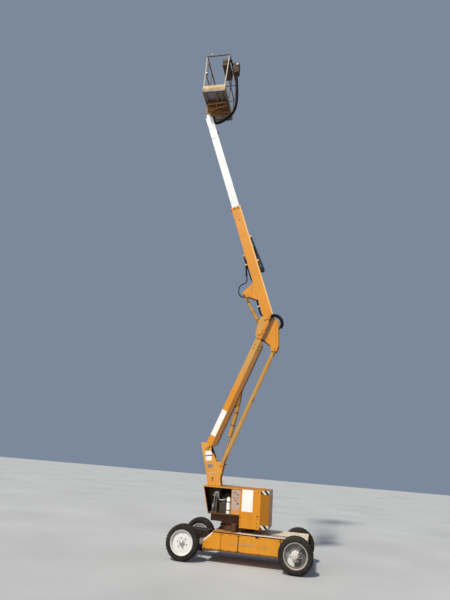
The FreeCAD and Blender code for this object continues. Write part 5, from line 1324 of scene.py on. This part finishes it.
def upper_boom_pieces():
    spots = []
    for sign in SIGNS:
        spots += grid((2.935, 2.965), [sign * 0.0812], (-0.135, -0.045), ACROSS * sign, UPPER.at)
        spots += grid([2.6], [sign * 0.0752], [-0.09], ACROSS * sign, UPPER.at)
    for under, face in ((0.0312, 1), (-0.2112, -1)):
        spots += grid([2.95], (-0.045, 0.045), [under], UPPER.under * face, UPPER.at)
    fasteners("wear_pad_bolts", spots, "upper_boom", radius=0.010, high=0.009)
    pads = plates(WEAR_PADS, ACROSS, UPPER.under * -1, UPPER.at)
    piece("wear_pads", pads, "moulded_plastic", "upper_boom", "black_plastic")
    lines_on_upper_boom("underside_lines", ((-0.034, 0.048), (0.002, 0.054), (0.036, 0.048)), UNDERSIDE_LINE,
                        0.016, 0.3)
    clamp = plates([(0.345, 0.002, 0.026, 0.12, 0.036, 0.054, 0.006)], ACROSS * -1, UPPER.along, UPPER.at)
    piece("underside_line_clamp", clamp, "cream_plastic", "upper_boom", "white_paint")
    lines_on_upper_boom("boom_edge_lines", ((-0.058, 0), (-0.028, 0)), EDGE_LINE, 0.013, 0.3)
    line = spline_points("boom_hose", BOOM_HOSE, Vector())
    near = min(range(1, len(line) - 1), key=lambda i: (line[i] - BOOM_HOSE_CLAMP).length)
    clamp = Form().turned(line[near], line[near + 1] - line[near - 1], HOSE_CLAMP, 20)
    piece("boom_hose_clamps", clamp, "cream_plastic", "upper_boom", "white_paint")
    tip = Form()
    for sign in SIGNS:
        tip.turned(UPPER.at(6.1, sign * 0.0675, -0.09), ACROSS * sign, TIP_COVER)
    piece("tip_pin_covers", tip, "dark_bolt", "tele_boom", "dark_metal")
    clip = plates([(5.385, -0.02, -0.1826, 0.07, 0.07, 0.030, 0.008)], ACROSS, UPPER.along, UPPER.at)
    piece("tele_hose_clip", clip, "moulded_plastic", "tele_boom", "black_plastic")


def chain_links():
    """The pivots of the hose chain, on both its sides, and the hoses that it carries."""
    spots = []
    chain_length = CHAIN_LINKS * CHAIN_PITCH
    for sign in SIGNS:
        for i in range(CHAIN_LINKS):
            along = (i + 0.5) * CHAIN_PITCH
            under = CHAIN_UNDER - along * CHAIN_RISE / chain_length
            spots.append((UPPER.at(CHAIN_START - along, sign * CHAIN_SIDE, under), ACROSS * sign))
        for i in range(CHAIN_RETURN):
            along = CHAIN_START - chain_length + (i + 0.5) * CHAIN_PITCH
            spots.append((UPPER.at(along, sign * CHAIN_SIDE, CHAIN_UNDER), ACROSS * sign))
    fasteners("chain_pivots", spots, "upper_boom", radius=0.006, high=0.003)
    lines_on_upper_boom("chain_hoses", ((-0.027, 0), (0, 0), (0.027, 0)), CHAIN_HOSE, 0.0125, 0.4)


def boom_pieces():
    pin_keepers()
    post_plates()
    lower_boom_pieces()
    cylinders()
    upper_boom_pieces()
    chain_links()


# Cage

STRUT_END = 0.52
STRUTS = (
    # across, height at the start, height at the end
    (-0.225, 0.110, 0.160), (-0.108, 0.004, 0.150), (0.108, 0.004, 0.150), (0.225, 0.110, 0.160),
)
LACING = ((0.03, 0.13), (0.13, 0.24), (0.24, 0.36), (0.36, 0.48))
GRIP_STEP = 0.034
GRIP_SIZES = {"Lozenge_long": 0.012, "Lozenge_wide": 0.004, "Lozenge_high": 0.003}
CONSOLE_TOP = CAGE_PIN.z + 1.460
BOOT = ((0.030, 0), (0.030, 0.006), (0.020, 0.012), (0.023, 0.018), (0.015, 0.026), (0.017, 0.032),
        (0.009, 0.042))
LEVER_KNOB = ((0.008, 0), (0.016, 0.006), (0.018, 0.016), (0.014, 0.026), (0.003, 0.029))
STOP_BUTTON = ((0.012, 0), (0.012, 0.014), (0.021, 0.018), (0.021, 0.026), (0.004, 0.031))
LAMP_FOOT = ((0.020, 0), (0.020, 0.010), (0.012, 0.014), (0.012, 0.022))
LAMP_LENS = ((0.018, 0), (0.024, 0.004), (0.024, 0.03), (0.017, 0.042), (0.004, 0.046))
GLAND = ((0.040, 0), (0.040, 0.012), (0.034, 0.02), (0.034, 0.035), (0.028, 0.04))
FRONT_CAP = ((0.036, 0), (0.038, 0.004), (0.038, 0.022), (0.032, 0.028), (0.004, 0.029))
TOP_CAP = ((0.0385, 0), (0.0395, 0.004), (0.0395, 0.03), (0.034, 0.0375), (0.004, 0.038))


def mount_frame():
    """The welded frame that carries the floor from the mount's plates."""
    tray = Form().plate(cage_at(0.257, 0, 0.196), ACROSS, AHEAD, 0.50, 0.54, 0.020, 0.01)
    for across in (-0.25, 0.246):
        tray.plate(cage_at(0.257, across, 0.196), AHEAD, ACROSS, 0.54, 0.008, 0.020)
    piece("mount_tray", tray, "brown_paint", "cage", "orange")
    struts = Form()
    for across, near, far in STRUTS:
        struts.pipe((cage_at(0, across, near), cage_at(STRUT_END / 2, across, (near + far) / 2),
                     cage_at(STRUT_END, across, far)), 0.014)
        for start, end in LACING:
            low_start, low_end = (near + (far - near) * along / STRUT_END for along in (start, end))
            struts.pipe((cage_at(start, across, low_start), cage_at((start + end) / 2, across, 0.18),
                         cage_at(end, across, low_end)), 0.009, 8, 0.12)
    for sign in SIGNS:
        for along in (0.02, 0.26, 0.50):
            inner, outer = (cage_at(along, sign * abs(across), near + (far - near) * along / STRUT_END)
                            for across, near, far in (STRUTS[1], STRUTS[0]))
            struts.pipe((inner, outer), 0.012)
    # The struts' brown-orange is painted shade
    piece("mount_struts", struts, "mount_strut_shade_paint", "cage", "orange")


def floor_grip():
    low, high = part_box("cage_floor")
    points = bpy.data.meshes.new("grip")
    rows, columns = (round((size - 0.05) / GRIP_STEP) for size in (high.x - low.x, high.y - low.y))
    points.from_pydata([(low.x + 0.03 + GRIP_STEP * i, low.y + 0.035 + GRIP_STEP * (k + 0.5 * (i % 2)),
                         high.z + 0.001)
                        for i in range(rows) for k in range(columns - 1)], [], [])
    piece("floor_grip", GRIP.mesh("grip", points, "grey_enamel", **GRIP_SIZES), "grey_enamel", "cage",
          "grey_paint")


def cage_pieces():
    mount_frame()
    floor_grip()
    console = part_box("cage_control_box")[0].x
    levers = Form()
    for y in (-0.33, -0.15, 0.03):
        levers.turned(Vector((console + 0.060, y, CONSOLE_TOP)), UP, BOOT, 20)
        levers.turned(Vector((console + 0.060, y, CONSOLE_TOP + 0.062)), UP, LEVER_KNOB, 18)
    piece("console_levers", levers, "moulded_plastic", "cage", "black_plastic")
    stop = Form().turned(Vector((console + 0.110, -0.24, CONSOLE_TOP)), UP, STOP_BUTTON, 22)
    piece("console_stop_button", stop, "red_plastic", "cage", "black_plastic")
    face = Form().plate(Vector((console, -0.15, CAGE_PIN.z + 1.355)), -ACROSS, UP, 0.40, 0.12, 0.002, 0.01)
    piece("console_plate", face, "grey_enamel", "cage", "grey_paint")
    piece("lamp_foot", Form().turned(cage_at(0.10, -0.53, 1.496), UP, LAMP_FOOT, 20), "moulded_plastic",
          "cage", "black_plastic")
    piece("lamp_lens", Form().turned(cage_at(0.10, -0.53, 1.516), UP, LAMP_LENS, 22), "pale_lens", "cage",
          "orange")
    spots = []
    for sign in SIGNS:
        spots += grid((0.0, 0.25, 0.5), [sign * 0.55], [0.40], ACROSS * sign, cage_at)
    for along, aim in ((-0.05, -AHEAD), (0.55, AHEAD)):
        spots += grid([along], (-0.45, -0.15, 0.15, 0.45), [0.40], aim, cage_at)
    fasteners("toe_board_bolts", spots, "cage", radius=0.006, high=0.004)
    low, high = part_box("cage_junction_box")
    centre = middle("cage_junction_box")
    lid = Form().plate(Vector((centre.x, low.y, centre.z - 0.02)), AHEAD, UP, 0.12, 0.26, 0.004, 0.012)
    lid.turned(cage_at(0.737, -0.2, 1.118), -UP, GLAND)
    piece("junction_lid", lid, "console_paint", "cage", "black_plastic")
    front_cap = Form().turned(Vector((-0.842, low.y - 0.003, 11.862)), -ACROSS, FRONT_CAP, 28)
    piece("junction_front_cap", front_cap, "cream_plastic", "cage", "pale_plastic")
    top_cap = Form().turned(Vector((centre.x, centre.y, high.z - 0.035)), UP, TOP_CAP, 28)
    piece("junction_cap_cover", top_cap, "canister_plastic", "cage", "pale_plastic")


camera()
hoses()
light()
floor()
finish_nodes()
wheel_pieces()
chassis_pieces()
turntable_pieces()
boom_pieces()
cage_pieces()
